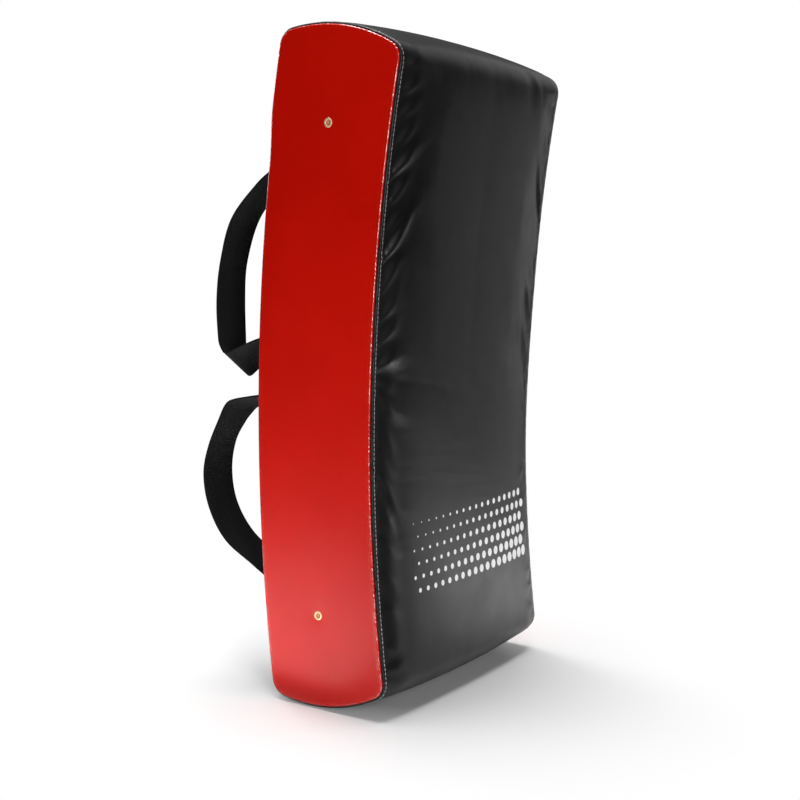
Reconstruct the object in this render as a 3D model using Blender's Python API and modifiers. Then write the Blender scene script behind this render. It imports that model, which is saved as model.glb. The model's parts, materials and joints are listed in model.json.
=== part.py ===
"""Curved kick shield: layered foam in a sewn vinyl cover, with two columns of webbing handles.

The pad's arc lies in the YZ plane. The hollow strike face looks towards -Y and the rounded handle
side towards +Y. The pad stands on its lower end, and the origin is on the floor under its middle.
Left is -X, as seen from the strike side. A place on the pad is given by its depth behind the middle
surface and its distance along the arc of that surface, up from mid height.
"""

import math

import bmesh
import bpy
from mathutils import Vector

# Foam block and cover
BEND_RADIUS = 2.200
PAD_LENGTH = 0.714
PAD_WIDTH = 0.345
PAD_DEPTH = 0.146
CORNER_RADIUS = 0.019
END_BULGE = 0.0093
FACE_CROWN = 0.0054
END_PUFF = 0.0065
FLOOR_SQUASH = 0.0035
VINYL = 0.0015
GAP = 0.0003
BACK_SEAM_ALONG = 0.318
FOAM_INSET = 0.0045
FOAM_SIDE_INSET = 0.006
LAYER_SPLIT = 0.042

# Vent eyelets on the side panels
EYELET_ALONG = 0.2584
EYELET_FLANGE_RADIUS = 0.0058
EYELET_BORE_RADIUS = 0.0027
EYELET_BARREL_RADIUS = 0.0033
EYELET_FLANGE = 0.0008
WASHER_RADIUS = 0.0065
WASHER = 0.0006

# Handles: each column is one webbing strip sewn down at its ends and its middle
COLUMN_X = 0.120
WEBBING_WIDTH = 0.050
WEBBING = 0.0020
SEWN_HEIGHT = GAP + WEBBING / 2
SWAY_HEIGHT = 0.012
SWAY_RELIEF = 0.25
SWAY_GAP = 0.0010
REINFORCEMENT_WIDTH = 0.070
REINFORCEMENT = 0.0008
REINFORCEMENT_ALONG = 0.290

# Zip in the middle of the back
ZIP_ALONG = 0.270
ZIP_NOTCH_ALONG = 0.281
ZIP_NOTCH_HALF = 0.0056
TAPE_WIDTH = 0.014
TAPE = 0.0006
CHAIN_HALF = 0.003
CHAIN_LOW = -0.0015
CHAIN_HIGH = 0.0006
STOP_LENGTH = 0.005
STOP_HIGH = 0.0012
SLIDER_LENGTH = 0.013
SLIDER_HALF = 0.005
SLIDER_PLATE_LOW = 0.0009
SLIDER_PLATE_HIGH = 0.0023
SLIDER_FLANGE = 0.0016
SLIDER_FLANGE_LOW = -0.0009
BRIDGE_HALF = 0.0046
BRIDGE_BAR = 0.0010
BRIDGE_HIGH = 0.0056
BRIDGE_WIDTH = 0.0026
PULL_PIVOT_ALONG = -0.0027
PULL_PIVOT_HEIGHT = 0.00345
PULL = 0.0012
PULL_LENGTH = 0.028
PULL_HALF = 0.0036
PULL_WINDOW_HALF = 0.0019
PULL_WINDOW_END = 0.0082

SIDES = (("left", -1), ("right", 1))
CORNER_DEPTH = PAD_DEPTH / 2 - CORNER_RADIUS
CORNER_ALONG = PAD_LENGTH / 2 - CORNER_RADIUS - END_BULGE
COVER_HALF = PAD_WIDTH / 2 - VINYL - GAP
BACK_DEPTH = PAD_DEPTH / 2
QUARTER = math.pi / 2


def spaced(start, end, count):
    """count + 1 even steps from start to end."""
    return [start + (end - start) * i / count for i in range(count + 1)]


def end_station(depth):
    """A station on the upper end: the rounding's centre, and the angle of the outward normal."""
    ratio = depth / CORNER_DEPTH
    along = CORNER_ALONG + END_BULGE * (1 - ratio ** 2)
    lean = math.atan(2 * END_BULGE * ratio / CORNER_DEPTH)
    return depth, along, QUARTER - lean


def upper_stations():
    """Stations from the back seam over the rear corner, the upper end and the front corner."""
    corner_angle = end_station(CORNER_DEPTH)[2]
    stations = [(CORNER_DEPTH, BACK_SEAM_ALONG, 0.0)]
    stations += [(CORNER_DEPTH, CORNER_ALONG, a) for a in spaced(0, corner_angle, 4)[:-1]]
    stations += [end_station(d) for d in spaced(CORNER_DEPTH, -CORNER_DEPTH, 8)]
    stations += [(-CORNER_DEPTH, CORNER_ALONG, a) for a in spaced(math.pi - corner_angle, math.pi, 4)[1:]]
    return stations


def wrap_stations():
    """Stations of the black wrap, from the upper back seam over the strike face to the lower one."""
    upper = upper_stations()
    front = [(-CORNER_DEPTH, along, math.pi) for along in spaced(CORNER_ALONG, -CORNER_ALONG, 18)[1:-1]]
    lower = [(depth, -along, -angle) for depth, along, angle in reversed(upper)]
    return upper + front + lower


def cover_reach(x, angle):
    """How far the cover stands from a station's centre, with the crown of the filled pad."""
    fullness = 1 - (2 * x / PAD_WIDTH) ** 2
    crown = FACE_CROWN * max(0.0, -math.cos(angle)) ** 2 + END_PUFF * math.sin(angle) ** 2
    return CORNER_RADIUS + crown * fullness


def height_above_middle(depth, along):
    return (BEND_RADIUS + depth) * math.sin(along / BEND_RADIUS)


def upper_end_height():
    """Height of the crowned upper end above the pad's middle."""
    heights = []
    for depth, along, angle in upper_stations():
        reach = cover_reach(0.0, angle)
        heights.append(height_above_middle(depth + reach * math.cos(angle), along + reach * math.sin(angle)))
    return max(heights)


MID_HEIGHT = upper_end_height() - FLOOR_SQUASH


def bend(x, depth, along):
    """The point at width x, depth behind the middle surface and distance along its arc."""
    radius = BEND_RADIUS + depth
    turn = along / BEND_RADIUS
    return Vector((x, radius * math.cos(turn) - BEND_RADIUS, MID_HEIGHT + radius * math.sin(turn)))


def cover_point(x, station):
    """A point of the cover's outer surface, pressed flat where it meets the floor."""
    depth, along, angle = station
    reach = cover_reach(x, angle)
    point = bend(x, depth + reach * math.cos(angle), along + reach * math.sin(angle))
    point.z = max(point.z, 0.0)
    return point


def material(name, colour, roughness, metallic=0.0):
    made = bpy.data.materials.new(name)
    made.use_nodes = True
    shader = made.node_tree.nodes["Principled BSDF"]
    shader.inputs["Base Color"].default_value = (*colour, 1.0)
    shader.inputs["Roughness"].default_value = roughness
    shader.inputs["Metallic"].default_value = metallic
    made.diffuse_color = (*colour, 1.0)
    return made


def add_object(name, data, collection, look, smooth_angle=40):
    """Links a new object with its own material, shaded smooth but for its edges."""
    made = bpy.data.objects.new(name, data)
    collection.objects.link(made)
    data.materials.append(material(name, *look))
    if isinstance(data, bpy.types.Mesh):
        data.shade_smooth()
        data.set_sharp_from_angle(angle=math.radians(smooth_angle))
    return made


def sheet(name, columns, rows, place, thickness, collection, look, offset=-1.0, drop=None):
    """A shell over a grid of columns and rows, whose outer surface place(column, row) gives."""
    mesh = bpy.data.meshes.new(name)
    bm = bmesh.new()
    across = len(columns) - 1
    down = len(rows) - 1
    bmesh.ops.create_grid(bm, x_segments=across, y_segments=down, size=1.0)
    for vertex in bm.verts:
        i = round((vertex.co.x + 1) / 2 * across)
        j = round((vertex.co.y + 1) / 2 * down)
        vertex.co = (i, j, 0)
    if drop:
        unwanted = [f for f in bm.faces if drop(f.calc_center_median())]
        bmesh.ops.delete(bm, geom=unwanted, context="FACES")
    for vertex in bm.verts:
        vertex.co = place(columns[round(vertex.co.x)], rows[round(vertex.co.y)])
    bm.to_mesh(mesh)
    bm.free()
    made = add_object(name, mesh, collection, look)
    shell = made.modifiers.new("thickness", "SOLIDIFY")
    shell.thickness = thickness
    shell.offset = offset
    return made


def plate(name, outline, x_low, x_high, collection, look, holes=()):
    """A flat plate across X, from an outline of (y, z) points, with holes."""
    curve = bpy.data.curves.new(name, "CURVE")
    curve.dimensions = "2D"
    curve.fill_mode = "BOTH"
    curve.extrude = (x_high - x_low) / 2
    for loop in (outline, *holes):
        spline = curve.splines.new("POLY")
        spline.points.add(len(loop) - 1)
        for point, (y, z) in zip(spline.points, loop):
            point.co = (y, z, 0, 1)
        spline.use_cyclic_u = True
    made = add_object(name, curve, collection, look)
    made.rotation_euler = (QUARTER, 0, QUARTER)
    made.location.x = (x_low + x_high) / 2
    return made


def turned_ring(name, profile, collection, look):
    """A ring turned about Z from a closed loop of (radius, height) points."""
    mesh = bpy.data.meshes.new(name)
    bm = bmesh.new()
    corners = [bm.verts.new((radius, 0, height)) for radius, height in profile]
    for first, second in zip(corners, corners[1:] + corners[:1]):
        bm.edges.new((first, second))
    bm.to_mesh(mesh)
    bm.free()
    made = add_object(name, mesh, collection, look)
    screw = made.modifiers.new("turn", "SCREW")
    screw.steps = 20
    screw.render_steps = 20
    screw.use_merge_vertices = True
    screw.merge_threshold = 0.00005
    screw.use_smooth_shade = False
    return made


def box_mesh(name, low, high):
    mesh = bpy.data.meshes.new(name)
    bm = bmesh.new()
    bmesh.ops.create_cube(bm, size=1.0)
    for vertex in bm.verts:
        for axis in range(3):
            vertex.co[axis] = high[axis] if vertex.co[axis] > 0 else low[axis]
    bm.to_mesh(mesh)
    bm.free()
    return mesh


def arc_strip(name, x_low, x_high, low, high, along_low, along_high, rows, collection, look):
    """A strip that follows the back of the pad, from height low to high over the cover."""
    def place(x, along):
        return bend(x, BACK_DEPTH + high, along)
    return sheet(name, [x_high, x_low], spaced(along_low, along_high, rows), place, high - low,
                 collection, look)


BLACK_VINYL = ((0.016, 0.016, 0.018), 0.32)
RED_VINYL = ((0.48, 0.006, 0.0), 0.22)
FOAM_DARK = ((0.06, 0.06, 0.065), 0.9)
FOAM_LIGHT = ((0.72, 0.70, 0.62), 0.95)
WEBBING_LOOK = ((0.006, 0.006, 0.007), 0.85)
LINING = ((0.05, 0.05, 0.05), 0.9)
BRASS = ((0.71, 0.52, 0.24), 0.35, 1.0)
ZIP_NYLON = ((0.012, 0.012, 0.012), 0.5)
ZIP_METAL = ((0.03, 0.03, 0.03), 0.35, 1.0)


def foam_outline(low, high):
    """Outline of a foam layer between two depths, bent and in (y, z)."""
    def reach(depth):
        core = max(-CORNER_DEPTH, min(CORNER_DEPTH, depth))
        radius = CORNER_RADIUS - FOAM_INSET
        return end_station(core)[1] + math.sqrt(max(0.0, radius ** 2 - (depth - core) ** 2))
    front = [(low, along) for along in spaced(-reach(low), reach(low), 14)]
    upper = [(depth, reach(depth)) for depth in spaced(low, high, 6)[1:-1]]
    back = [(high, along) for along in spaced(reach(high), -reach(high), 14)]
    lower = [(depth, -reach(depth)) for depth in spaced(high, low, 6)[1:-1]]
    points = [bend(0, depth, along) for depth, along in front + upper + back + lower]
    return [(p.y, p.z) for p in points]


def build_foam(parts):
    half = PAD_WIDTH / 2 - FOAM_SIDE_INSET
    face = PAD_DEPTH / 2 - FOAM_INSET
    layers = (
        ("foam_strike_layer", -face, -LAYER_SPLIT, FOAM_DARK),
        ("foam_core", -LAYER_SPLIT + GAP, LAYER_SPLIT - GAP, FOAM_LIGHT),
        ("foam_back_layer", LAYER_SPLIT, face, FOAM_DARK),
    )
    for name, low, high, look in layers:
        plate(name, foam_outline(low, high), -half, half, parts, look)


def build_strike_cover(parts):
    columns = spaced(COVER_HALF, -COVER_HALF, 10)
    sheet("strike_cover", columns, wrap_stations(), cover_point, VINYL, parts, BLACK_VINYL)


def eyelet_places(side):
    return [("upper", bend(side * PAD_WIDTH / 2, 0, EYELET_ALONG)),
            ("lower", bend(side * PAD_WIDTH / 2, 0, -EYELET_ALONG))]


def circle(centre, radius, count):
    turns = [2 * math.pi * i / count for i in range(count)]
    return [(centre.y + radius * math.cos(t), centre.z + radius * math.sin(t)) for t in turns]


def build_side_panel(word, side, parts):
    """A flat red side with two vent holes. Its edge covers the edges of the wrap and the back."""
    seam = [cover_point(PAD_WIDTH / 2, station) for station in wrap_stations()]
    back = [bend(0, BACK_DEPTH, along) for along in spaced(-BACK_SEAM_ALONG, BACK_SEAM_ALONG, 16)[1:-1]]
    outline = [(p.y, p.z) for p in seam + back]
    holes = [circle(place, EYELET_BARREL_RADIUS + GAP, 20) for _, place in eyelet_places(side)]
    low, high = sorted((side * (PAD_WIDTH / 2 - VINYL), side * PAD_WIDTH / 2))
    plate("side_panel_" + word, outline, low, high, parts, RED_VINYL, holes)


def build_eyelets(word, side, parts):
    """Flanged brass eyelets through a side panel, each with a washer on the inside."""
    under_washer = -VINYL - GAP - WASHER
    barrel_end = under_washer - GAP
    eyelet = [
        (EYELET_FLANGE_RADIUS * 0.9, GAP + EYELET_FLANGE),
        (EYELET_FLANGE_RADIUS, GAP + EYELET_FLANGE * 0.5),
        (EYELET_FLANGE_RADIUS, GAP),
        (EYELET_BARREL_RADIUS, GAP),
        (EYELET_BARREL_RADIUS, barrel_end),
        (EYELET_BORE_RADIUS, barrel_end),
        (EYELET_BORE_RADIUS, GAP + EYELET_FLANGE * 0.5),
        (EYELET_BORE_RADIUS * 1.2, GAP + EYELET_FLANGE),
    ]
    washer = [
        (WASHER_RADIUS, -VINYL - GAP),
        (WASHER_RADIUS, under_washer),
        (EYELET_BARREL_RADIUS + GAP, under_washer),
        (EYELET_BARREL_RADIUS + GAP, -VINYL - GAP),
    ]
    for level, place in eyelet_places(side):
        for name, profile in (("eyelet", eyelet), ("eyelet_washer", washer)):
            ring = turned_ring(f"{name}_{level}_{word}", profile, parts, BRASS)
            ring.rotation_euler = (0, side * QUARTER, 0)
            ring.location = place


def build_back_panel(word, side, parts):
    """Half of the back, from the side panel to the centre seam, cut away along the zip."""
    def place(x, along):
        return bend(x, BACK_DEPTH, along)

    def along_zip(centre):
        beside = centre.x < 1 if side < 0 else centre.x > 1
        return beside and first_notch_row < centre.y < last_notch_row

    edge = BACK_SEAM_ALONG - GAP
    rows = [-edge, *spaced(-ZIP_NOTCH_ALONG, ZIP_NOTCH_ALONG, 14), edge]
    first_notch_row = 1
    last_notch_row = len(rows) - 2
    columns = sorted((side * COVER_HALF, side * ZIP_NOTCH_HALF, side * GAP / 2), reverse=True)
    sheet("back_panel_" + word, columns, rows, place, VINYL, parts, BLACK_VINYL, drop=along_zip)


def build_reinforcement(word, side, parts):
    """Woven strip inside the back panel that carries the handle stitching."""
    centre = side * COLUMN_X
    top = -VINYL - GAP
    arc_strip("back_reinforcement_" + word, centre - REINFORCEMENT_WIDTH / 2, centre + REINFORCEMENT_WIDTH / 2,
              top - REINFORCEMENT, top, -REINFORCEMENT_ALONG, REINFORCEMENT_ALONG, 12, parts, LINING)


# The webbing's centre line: distance along the pad, height over its back, and slant in degrees.
# The strip is sewn flat at its ends and in its middle, and each loop hangs in a fold below its upper end.
TOP_END = ((0.258, SEWN_HEIGHT, 0), (0.236, SEWN_HEIGHT, 0), (0.221, 0.0025, 0))
UPPER_LOOP = ((0.208, SWAY_HEIGHT, 0), (0.188, 0.037, 0), (0.150, 0.068, 0), (0.106, 0.081, 0),
              (0.060, 0.083, 0), (0.024, 0.080, 6), (0.004, 0.077, 26), (-0.004, 0.071, 33),
              (0.003, 0.058, 26), (0.022, 0.028, 8), (0.030, SWAY_HEIGHT, 0))
MIDDLE = ((0.030, 0.004, 0), (0.022, SEWN_HEIGHT, 0), (0.0, SEWN_HEIGHT, 0), (-0.022, SEWN_HEIGHT, 0),
          (-0.029, 0.004, 0))
LOWER_LOOP = ((-0.031, SWAY_HEIGHT, 0), (-0.036, 0.034, 3), (-0.045, 0.060, 12), (-0.052, 0.070, 15),
              (-0.064, 0.079, 8), (-0.090, 0.094, 0), (-0.122, 0.102, 0), (-0.156, 0.096, 0),
              (-0.190, 0.073, 0), (-0.215, 0.036, 0), (-0.231, SWAY_HEIGHT, 0))
BOTTOM_END = ((-0.244, 0.0025, 0), (-0.259, SEWN_HEIGHT, 0), (-0.281, SEWN_HEIGHT, 0))
STEPS_BETWEEN = 3


def webbing_route():
    """The centre line as (distance, along, height, slant) samples, and the four sway points' distances."""
    sections = (TOP_END, UPPER_LOOP, MIDDLE, LOWER_LOOP, BOTTOM_END)
    points = [Vector(p) for section in sections for p in section]
    samples = []
    for i, (start, end) in enumerate(zip(points, points[1:])):
        before = points[max(i - 1, 0)]
        after = points[min(i + 2, len(points) - 1)]
        for t in spaced(0, 1, STEPS_BETWEEN)[:-1]:
            bow = (2 * start + (end - before) * t + (2 * before - 5 * start + 4 * end - after) * t ** 2
                   + (3 * start - before - 3 * end + after) * t ** 3) / 2
            bow.y = max(bow.y, SEWN_HEIGHT)
            samples.append(bow)
    samples.append(points[-1])
    route = [(0.0, *samples[0])]
    for sample in samples[1:]:
        _, along, height, _ = route[-1]
        route.append((route[-1][0] + math.hypot(sample.x - along, sample.y - height), *sample))
    first_loop = len(TOP_END)
    second_loop = first_loop + len(UPPER_LOOP) + len(MIDDLE)
    corners = (first_loop, first_loop + len(UPPER_LOOP) - 1, second_loop, second_loop + len(LOWER_LOOP) - 1)
    return route, [route[c * STEPS_BETWEEN][0] for c in corners]


def route_point(route, distance):
    """(along, height, slant) at a distance down the webbing."""
    for start, end in zip(route, route[1:]):
        if distance <= end[0]:
            break
    t = (distance - start[0]) / (end[0] - start[0])
    return [a + (b - a) * t for a, b in zip(start[1:], end[1:])]


def webbing_piece(name, side, start, end, pointed, rows, parts):
    """A length of webbing. A pointed end leaves room for the sway of the loop it meets."""
    route, _ = webbing_route()

    def place(x, share):
        relief = SWAY_GAP / 2 + abs(x) * SWAY_RELIEF
        first = start + relief * pointed[0]
        last = end - relief * pointed[1]
        along, height, slant = route_point(route, first + (last - first) * share)
        across = x * math.cos(math.radians(slant))
        lowered = side * x * math.sin(math.radians(slant))
        return bend(side * COLUMN_X + across, BACK_DEPTH + height, along + lowered)

    half = WEBBING_WIDTH / 2
    return sheet(name, [-half, 0, half], spaced(0, 1, rows), place, WEBBING, parts, WEBBING_LOOK, offset=0.0)


def build_handles(word, side, parts):
    """One column of webbing: sewn top, upper loop, sewn middle, lower loop and sewn bottom."""
    route, (upper_start, upper_end, lower_start, lower_end) = webbing_route()
    webbing_piece(f"handle_top_end_{word}", side, 0, upper_start, (0, 1), 12, parts)
    webbing_piece(f"handle_middle_{word}", side, upper_end, lower_start, (1, 1), 24, parts)
    webbing_piece(f"handle_bottom_end_{word}", side, lower_end, route[-1][0], (1, 0), 12, parts)
    loops = (
        ("upper", upper_start, upper_end, UPPER_LOOP[0]),
        ("lower", lower_start, lower_end, LOWER_LOOP[0]),
    )
    for level, start, end, corner in loops:
        axis = bpy.data.objects.new(f"{level}_{word}_sway_axis", None)
        parts.objects.link(axis)
        axis.location = bend(side * COLUMN_X, BACK_DEPTH + corner[1], corner[0])
        loop = webbing_piece(f"handle_{level}_loop_{word}", side, start, end, (1, 1), 36, parts)
        loop.parent = axis
        loop.location = -axis.location


def build_zip(parts):
    """Tapes, chain, stops, slider and pull. The chain is closed and the slider is at its lower stop."""
    under = -VINYL - GAP
    for word, side in SIDES:
        inner, outer = sorted((side * GAP / 2, side * TAPE_WIDTH))
        arc_strip("zip_tape_" + word, inner, outer, under - TAPE, under, -ZIP_NOTCH_ALONG - 0.006,
                  ZIP_NOTCH_ALONG + 0.006, 14, parts, ZIP_NYLON)
    arc_strip("zip_chain", -CHAIN_HALF, CHAIN_HALF, CHAIN_LOW, CHAIN_HIGH, -ZIP_ALONG, ZIP_ALONG, 28,
              parts, ZIP_NYLON)
    for word, side in (("bottom", -1), ("top", 1)):
        near, far = sorted((side * (ZIP_ALONG + GAP), side * (ZIP_ALONG + GAP + STOP_LENGTH)))
        arc_strip(f"zip_{word}_stop", -CHAIN_HALF, CHAIN_HALF, CHAIN_LOW, STOP_HIGH, near, far, 1,
                  parts, ZIP_METAL)
    travel_axis = bpy.data.objects.new("zip_travel_axis", None)
    parts.objects.link(travel_axis)
    travel_axis.location = (0, -BEND_RADIUS, MID_HEIGHT)
    slider_along = -ZIP_ALONG + SLIDER_LENGTH / 2
    turn = slider_along / BEND_RADIUS
    slider = build_slider(parts)
    slider.parent = travel_axis
    slider.location = bend(0, BACK_DEPTH, slider_along) - travel_axis.location
    slider.rotation_euler.x = turn
    pull = build_pull(parts)
    pull.location = bend(0, BACK_DEPTH + PULL_PIVOT_HEIGHT, slider_along + PULL_PIVOT_ALONG)


def build_slider(parts):
    """The slider's plate, the flanges beside the chain and the bridge for the pull, about the plate's foot."""
    ends = SLIDER_LENGTH / 2
    blocks = [
        ((-SLIDER_HALF, SLIDER_PLATE_LOW, -ends), (SLIDER_HALF, SLIDER_PLATE_HIGH, ends)),
        ((-BRIDGE_WIDTH / 2, BRIDGE_HIGH - BRIDGE_BAR, -BRIDGE_HALF), (BRIDGE_WIDTH / 2, BRIDGE_HIGH, BRIDGE_HALF)),
    ]
    middle_of_plate = (SLIDER_PLATE_LOW + SLIDER_PLATE_HIGH) / 2
    inside_bar = BRIDGE_HIGH - BRIDGE_BAR / 2
    for sign in (-1, 1):
        near, far = sorted((sign * (SLIDER_HALF - SLIDER_FLANGE), sign * (SLIDER_HALF - 0.0001)))
        blocks.append(((near, SLIDER_FLANGE_LOW, -ends + 0.0005), (far, middle_of_plate, ends - 0.0005)))
        foot, leg_end = sorted((sign * (BRIDGE_HALF - BRIDGE_BAR), sign * (BRIDGE_HALF - 0.0001)))
        blocks.append(((-BRIDGE_WIDTH / 2 + 0.0001, middle_of_plate, foot),
                       (BRIDGE_WIDTH / 2 - 0.0001, inside_bar, leg_end)))
    slider = add_object("zip_slider", box_mesh("zip_slider", *blocks[0]), parts, ZIP_METAL)
    for number, (low, high) in enumerate(blocks[1:]):
        block = bpy.data.objects.new(f"slider_block_{number}", box_mesh("slider_block", low, high))
        bpy.context.scene.collection.objects.link(block)
        join = slider.modifiers.new(block.name, "BOOLEAN")
        join.operation = "UNION"
        join.solver = "EXACT"
        join.object = block
    bpy.context.view_layer.update()
    joined = bpy.data.meshes.new_from_object(slider.evaluated_get(bpy.context.evaluated_depsgraph_get()))
    slider.modifiers.clear()
    slider.data = joined
    for number in range(len(blocks) - 1):
        bpy.data.objects.remove(bpy.data.objects[f"slider_block_{number}"])
    return slider


def build_pull(parts):
    """The pull tab, hanging from its end bar, with a window round the slider's bridge."""
    turns = spaced(0, -math.pi, 8)
    centre = -PULL_LENGTH + PULL_HALF
    tip = [(PULL_HALF * math.cos(t), centre + PULL_HALF * math.sin(t)) for t in turns]
    outline = [(-PULL_HALF, PULL / 2), (PULL_HALF, PULL / 2), *tip]
    window = [(-PULL_WINDOW_HALF, -PULL / 2), (PULL_WINDOW_HALF, -PULL / 2),
              (PULL_WINDOW_HALF, -PULL_WINDOW_END), (-PULL_WINDOW_HALF, -PULL_WINDOW_END)]
    pull = plate("zip_pull", outline, -PULL / 2, PULL / 2, parts, ZIP_METAL, [window])
    pull.rotation_euler = (QUARTER, 0, 0)
    return pull


def main():
    for old in list(bpy.data.objects):
        bpy.data.objects.remove(old)
    parts = bpy.data.collections.new("curved_kick_shield")
    bpy.context.scene.collection.children.link(parts)
    build_foam(parts)
    build_strike_cover(parts)
    for word, side in SIDES:
        build_side_panel(word, side, parts)
        build_eyelets(word, side, parts)
        build_back_panel(word, side, parts)
        build_reinforcement(word, side, parts)
        build_handles(word, side, parts)
    build_zip(parts)


main()
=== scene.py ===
"""Looks of the curved kick shield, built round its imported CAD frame.

The cover is shaped on the pad's own coordinates: x across, depth behind the middle surface, and
distance along the arc. A cloth simulation settles the black wrap before its seams are added.
"""

import json
import math

import bpy
import numpy as np
from mathutils import Matrix, Vector

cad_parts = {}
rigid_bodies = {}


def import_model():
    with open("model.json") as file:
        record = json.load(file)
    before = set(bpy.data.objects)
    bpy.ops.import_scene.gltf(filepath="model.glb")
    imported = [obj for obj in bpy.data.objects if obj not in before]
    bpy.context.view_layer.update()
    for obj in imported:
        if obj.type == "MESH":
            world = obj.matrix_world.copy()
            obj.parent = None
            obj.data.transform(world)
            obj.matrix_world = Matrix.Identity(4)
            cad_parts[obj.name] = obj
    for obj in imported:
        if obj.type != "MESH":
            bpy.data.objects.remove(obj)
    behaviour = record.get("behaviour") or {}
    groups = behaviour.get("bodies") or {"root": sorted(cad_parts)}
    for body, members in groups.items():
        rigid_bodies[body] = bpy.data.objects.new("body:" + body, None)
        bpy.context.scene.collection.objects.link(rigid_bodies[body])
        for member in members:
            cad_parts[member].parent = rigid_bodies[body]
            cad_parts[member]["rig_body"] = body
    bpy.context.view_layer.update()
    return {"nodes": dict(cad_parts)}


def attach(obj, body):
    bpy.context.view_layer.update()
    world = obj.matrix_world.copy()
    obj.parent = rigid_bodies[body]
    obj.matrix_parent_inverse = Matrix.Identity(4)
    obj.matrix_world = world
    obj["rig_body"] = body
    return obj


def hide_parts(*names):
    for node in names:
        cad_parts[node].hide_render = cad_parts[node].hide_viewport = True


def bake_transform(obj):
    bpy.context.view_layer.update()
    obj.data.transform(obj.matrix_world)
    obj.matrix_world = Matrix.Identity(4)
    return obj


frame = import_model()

MM = 0.001
TAU = 2 * math.pi

# The pad's shape, as in the CAD source
BEND_RADIUS = 2.200
PAD_LENGTH = 0.714
PAD_WIDTH = 0.345
PAD_DEPTH = 0.146
CORNER_RADIUS = 0.019
END_BULGE = 0.0093
FACE_CROWN = 0.0054
END_PUFF = 0.0065
MID_HEIGHT = 0.36061482662807265
BACK_SEAM_ALONG = 0.318
CORNER_DEPTH = PAD_DEPTH / 2 - CORNER_RADIUS
CORNER_ALONG = PAD_LENGTH / 2 - CORNER_RADIUS - END_BULGE
BACK_DEPTH = PAD_DEPTH / 2
SIDES = (("left", -1), ("right", 1))

# Seams: each cover turns in on a roll of this radius and meets its neighbour in the valley between
ROLL = 1.7 * MM
ROLL_STEPS = 8
ROLL_TURNS = np.linspace(0, math.radians(146), ROLL_STEPS + 1)[1:]
SIDE_LEVEL = PAD_WIDTH / 2 + 2.3 * MM
PROUD = 2.0 * MM
ROLL_X = SIDE_LEVEL - (1 + math.sqrt(2)) * ROLL
SIDE_REACH = CORNER_RADIUS + PROUD + 0.2 * MM - (1 + math.sqrt(2)) * ROLL
SIDE_DOME = 1.6 * MM
CROSS_ROLL = 1.3 * MM
RIM = 2.2 * MM
TOPSTITCH_IN = 1.5 * MM
STITCH_PITCH = 4.7 * MM
COVER_THICKNESS = 0.9 * MM

EYELET_ALONG = 0.2584
COLUMN_X = 0.120
WEBBING_HALF = 0.025
WEBBING = 2.0 * MM
SEWN_HEIGHT = 1.3 * MM
SWAY_HEIGHT = 0.012
ZIP_ALONG = 0.270
ZIP_NOTCH_ALONG = 0.281
ZIP_NOTCH_HALF = 5.6 * MM


# ---------------------------------------------------------------- shape of the pad


def bend(x, depth, along):
    """Points at width x, depth behind the middle surface and distance along its arc, over the floor."""
    x, depth, along = np.broadcast_arrays(x, depth, along)
    radius = BEND_RADIUS + depth
    turn = along / BEND_RADIUS
    height = MID_HEIGHT + radius * np.sin(turn)
    return np.stack([x, radius * np.cos(turn) - BEND_RADIUS, np.maximum(height, 0.0)], axis=-1)


def end_station(depth):
    """Centres and outward angles of the rounding along the upper end."""
    ratio = depth / CORNER_DEPTH
    along = CORNER_ALONG + END_BULGE * (1 - ratio ** 2)
    return along, math.pi / 2 - np.arctan(2 * END_BULGE * ratio / CORNER_DEPTH)


def upper_stations(pitch, start):
    """Stations from a place on the back over the rear corner and the upper end to the front corner."""
    corner = end_station(CORNER_DEPTH)[1]
    count = lambda length: max(2, round(length / pitch))
    arc = count(CORNER_RADIUS * corner)
    flat = np.linspace(start, CORNER_ALONG, count(CORNER_ALONG - start), endpoint=False)
    depths = np.linspace(CORNER_DEPTH, -CORNER_DEPTH, count(2 * CORNER_DEPTH))
    return ([(CORNER_DEPTH, along, 0.0) for along in flat]
            + [(CORNER_DEPTH, CORNER_ALONG, a) for a in np.linspace(0, corner, arc, endpoint=False)]
            + [(depth, *end_station(depth)) for depth in depths]
            + [(-CORNER_DEPTH, CORNER_ALONG, a) for a in np.linspace(math.pi - corner, math.pi, arc + 1)[1:]])


def wrap_stations(pitch):
    """Stations of the wrap from the upper back seam round to the lower one, and distances along it."""
    upper = upper_stations(pitch, BACK_SEAM_ALONG)
    steps = round(2 * CORNER_ALONG / pitch)
    front = [(-CORNER_DEPTH, along, math.pi) for along in np.linspace(CORNER_ALONG, -CORNER_ALONG, steps + 1)[1:-1]]
    lower = [(depth, -along, -angle) for depth, along, angle in reversed(upper)]
    rows = np.array(upper + front + lower)
    return rows, distances(*reach_out(rows, CORNER_RADIUS))


def running_sum(steps):
    return np.concatenate([[0.0], np.cumsum(steps)])


def reach_out(rows, reach):
    """Depths and places along the pad, at a reach from the stations' centres."""
    return rows[..., 0] + reach * np.cos(rows[..., 2]), rows[..., 1] + reach * np.sin(rows[..., 2])


def distances(u, v):
    """Distances along a line of (u, v) places."""
    return running_sum(np.hypot(np.diff(u), np.diff(v)))


def proud(angle):
    """How far the filled cover's seams stand over the CAD outline: nothing on the back, where the webbing is sewn."""
    return PROUD * np.clip(np.abs(np.angle(np.exp(1j * angle))) / (math.pi / 2), 0, 1)


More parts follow.
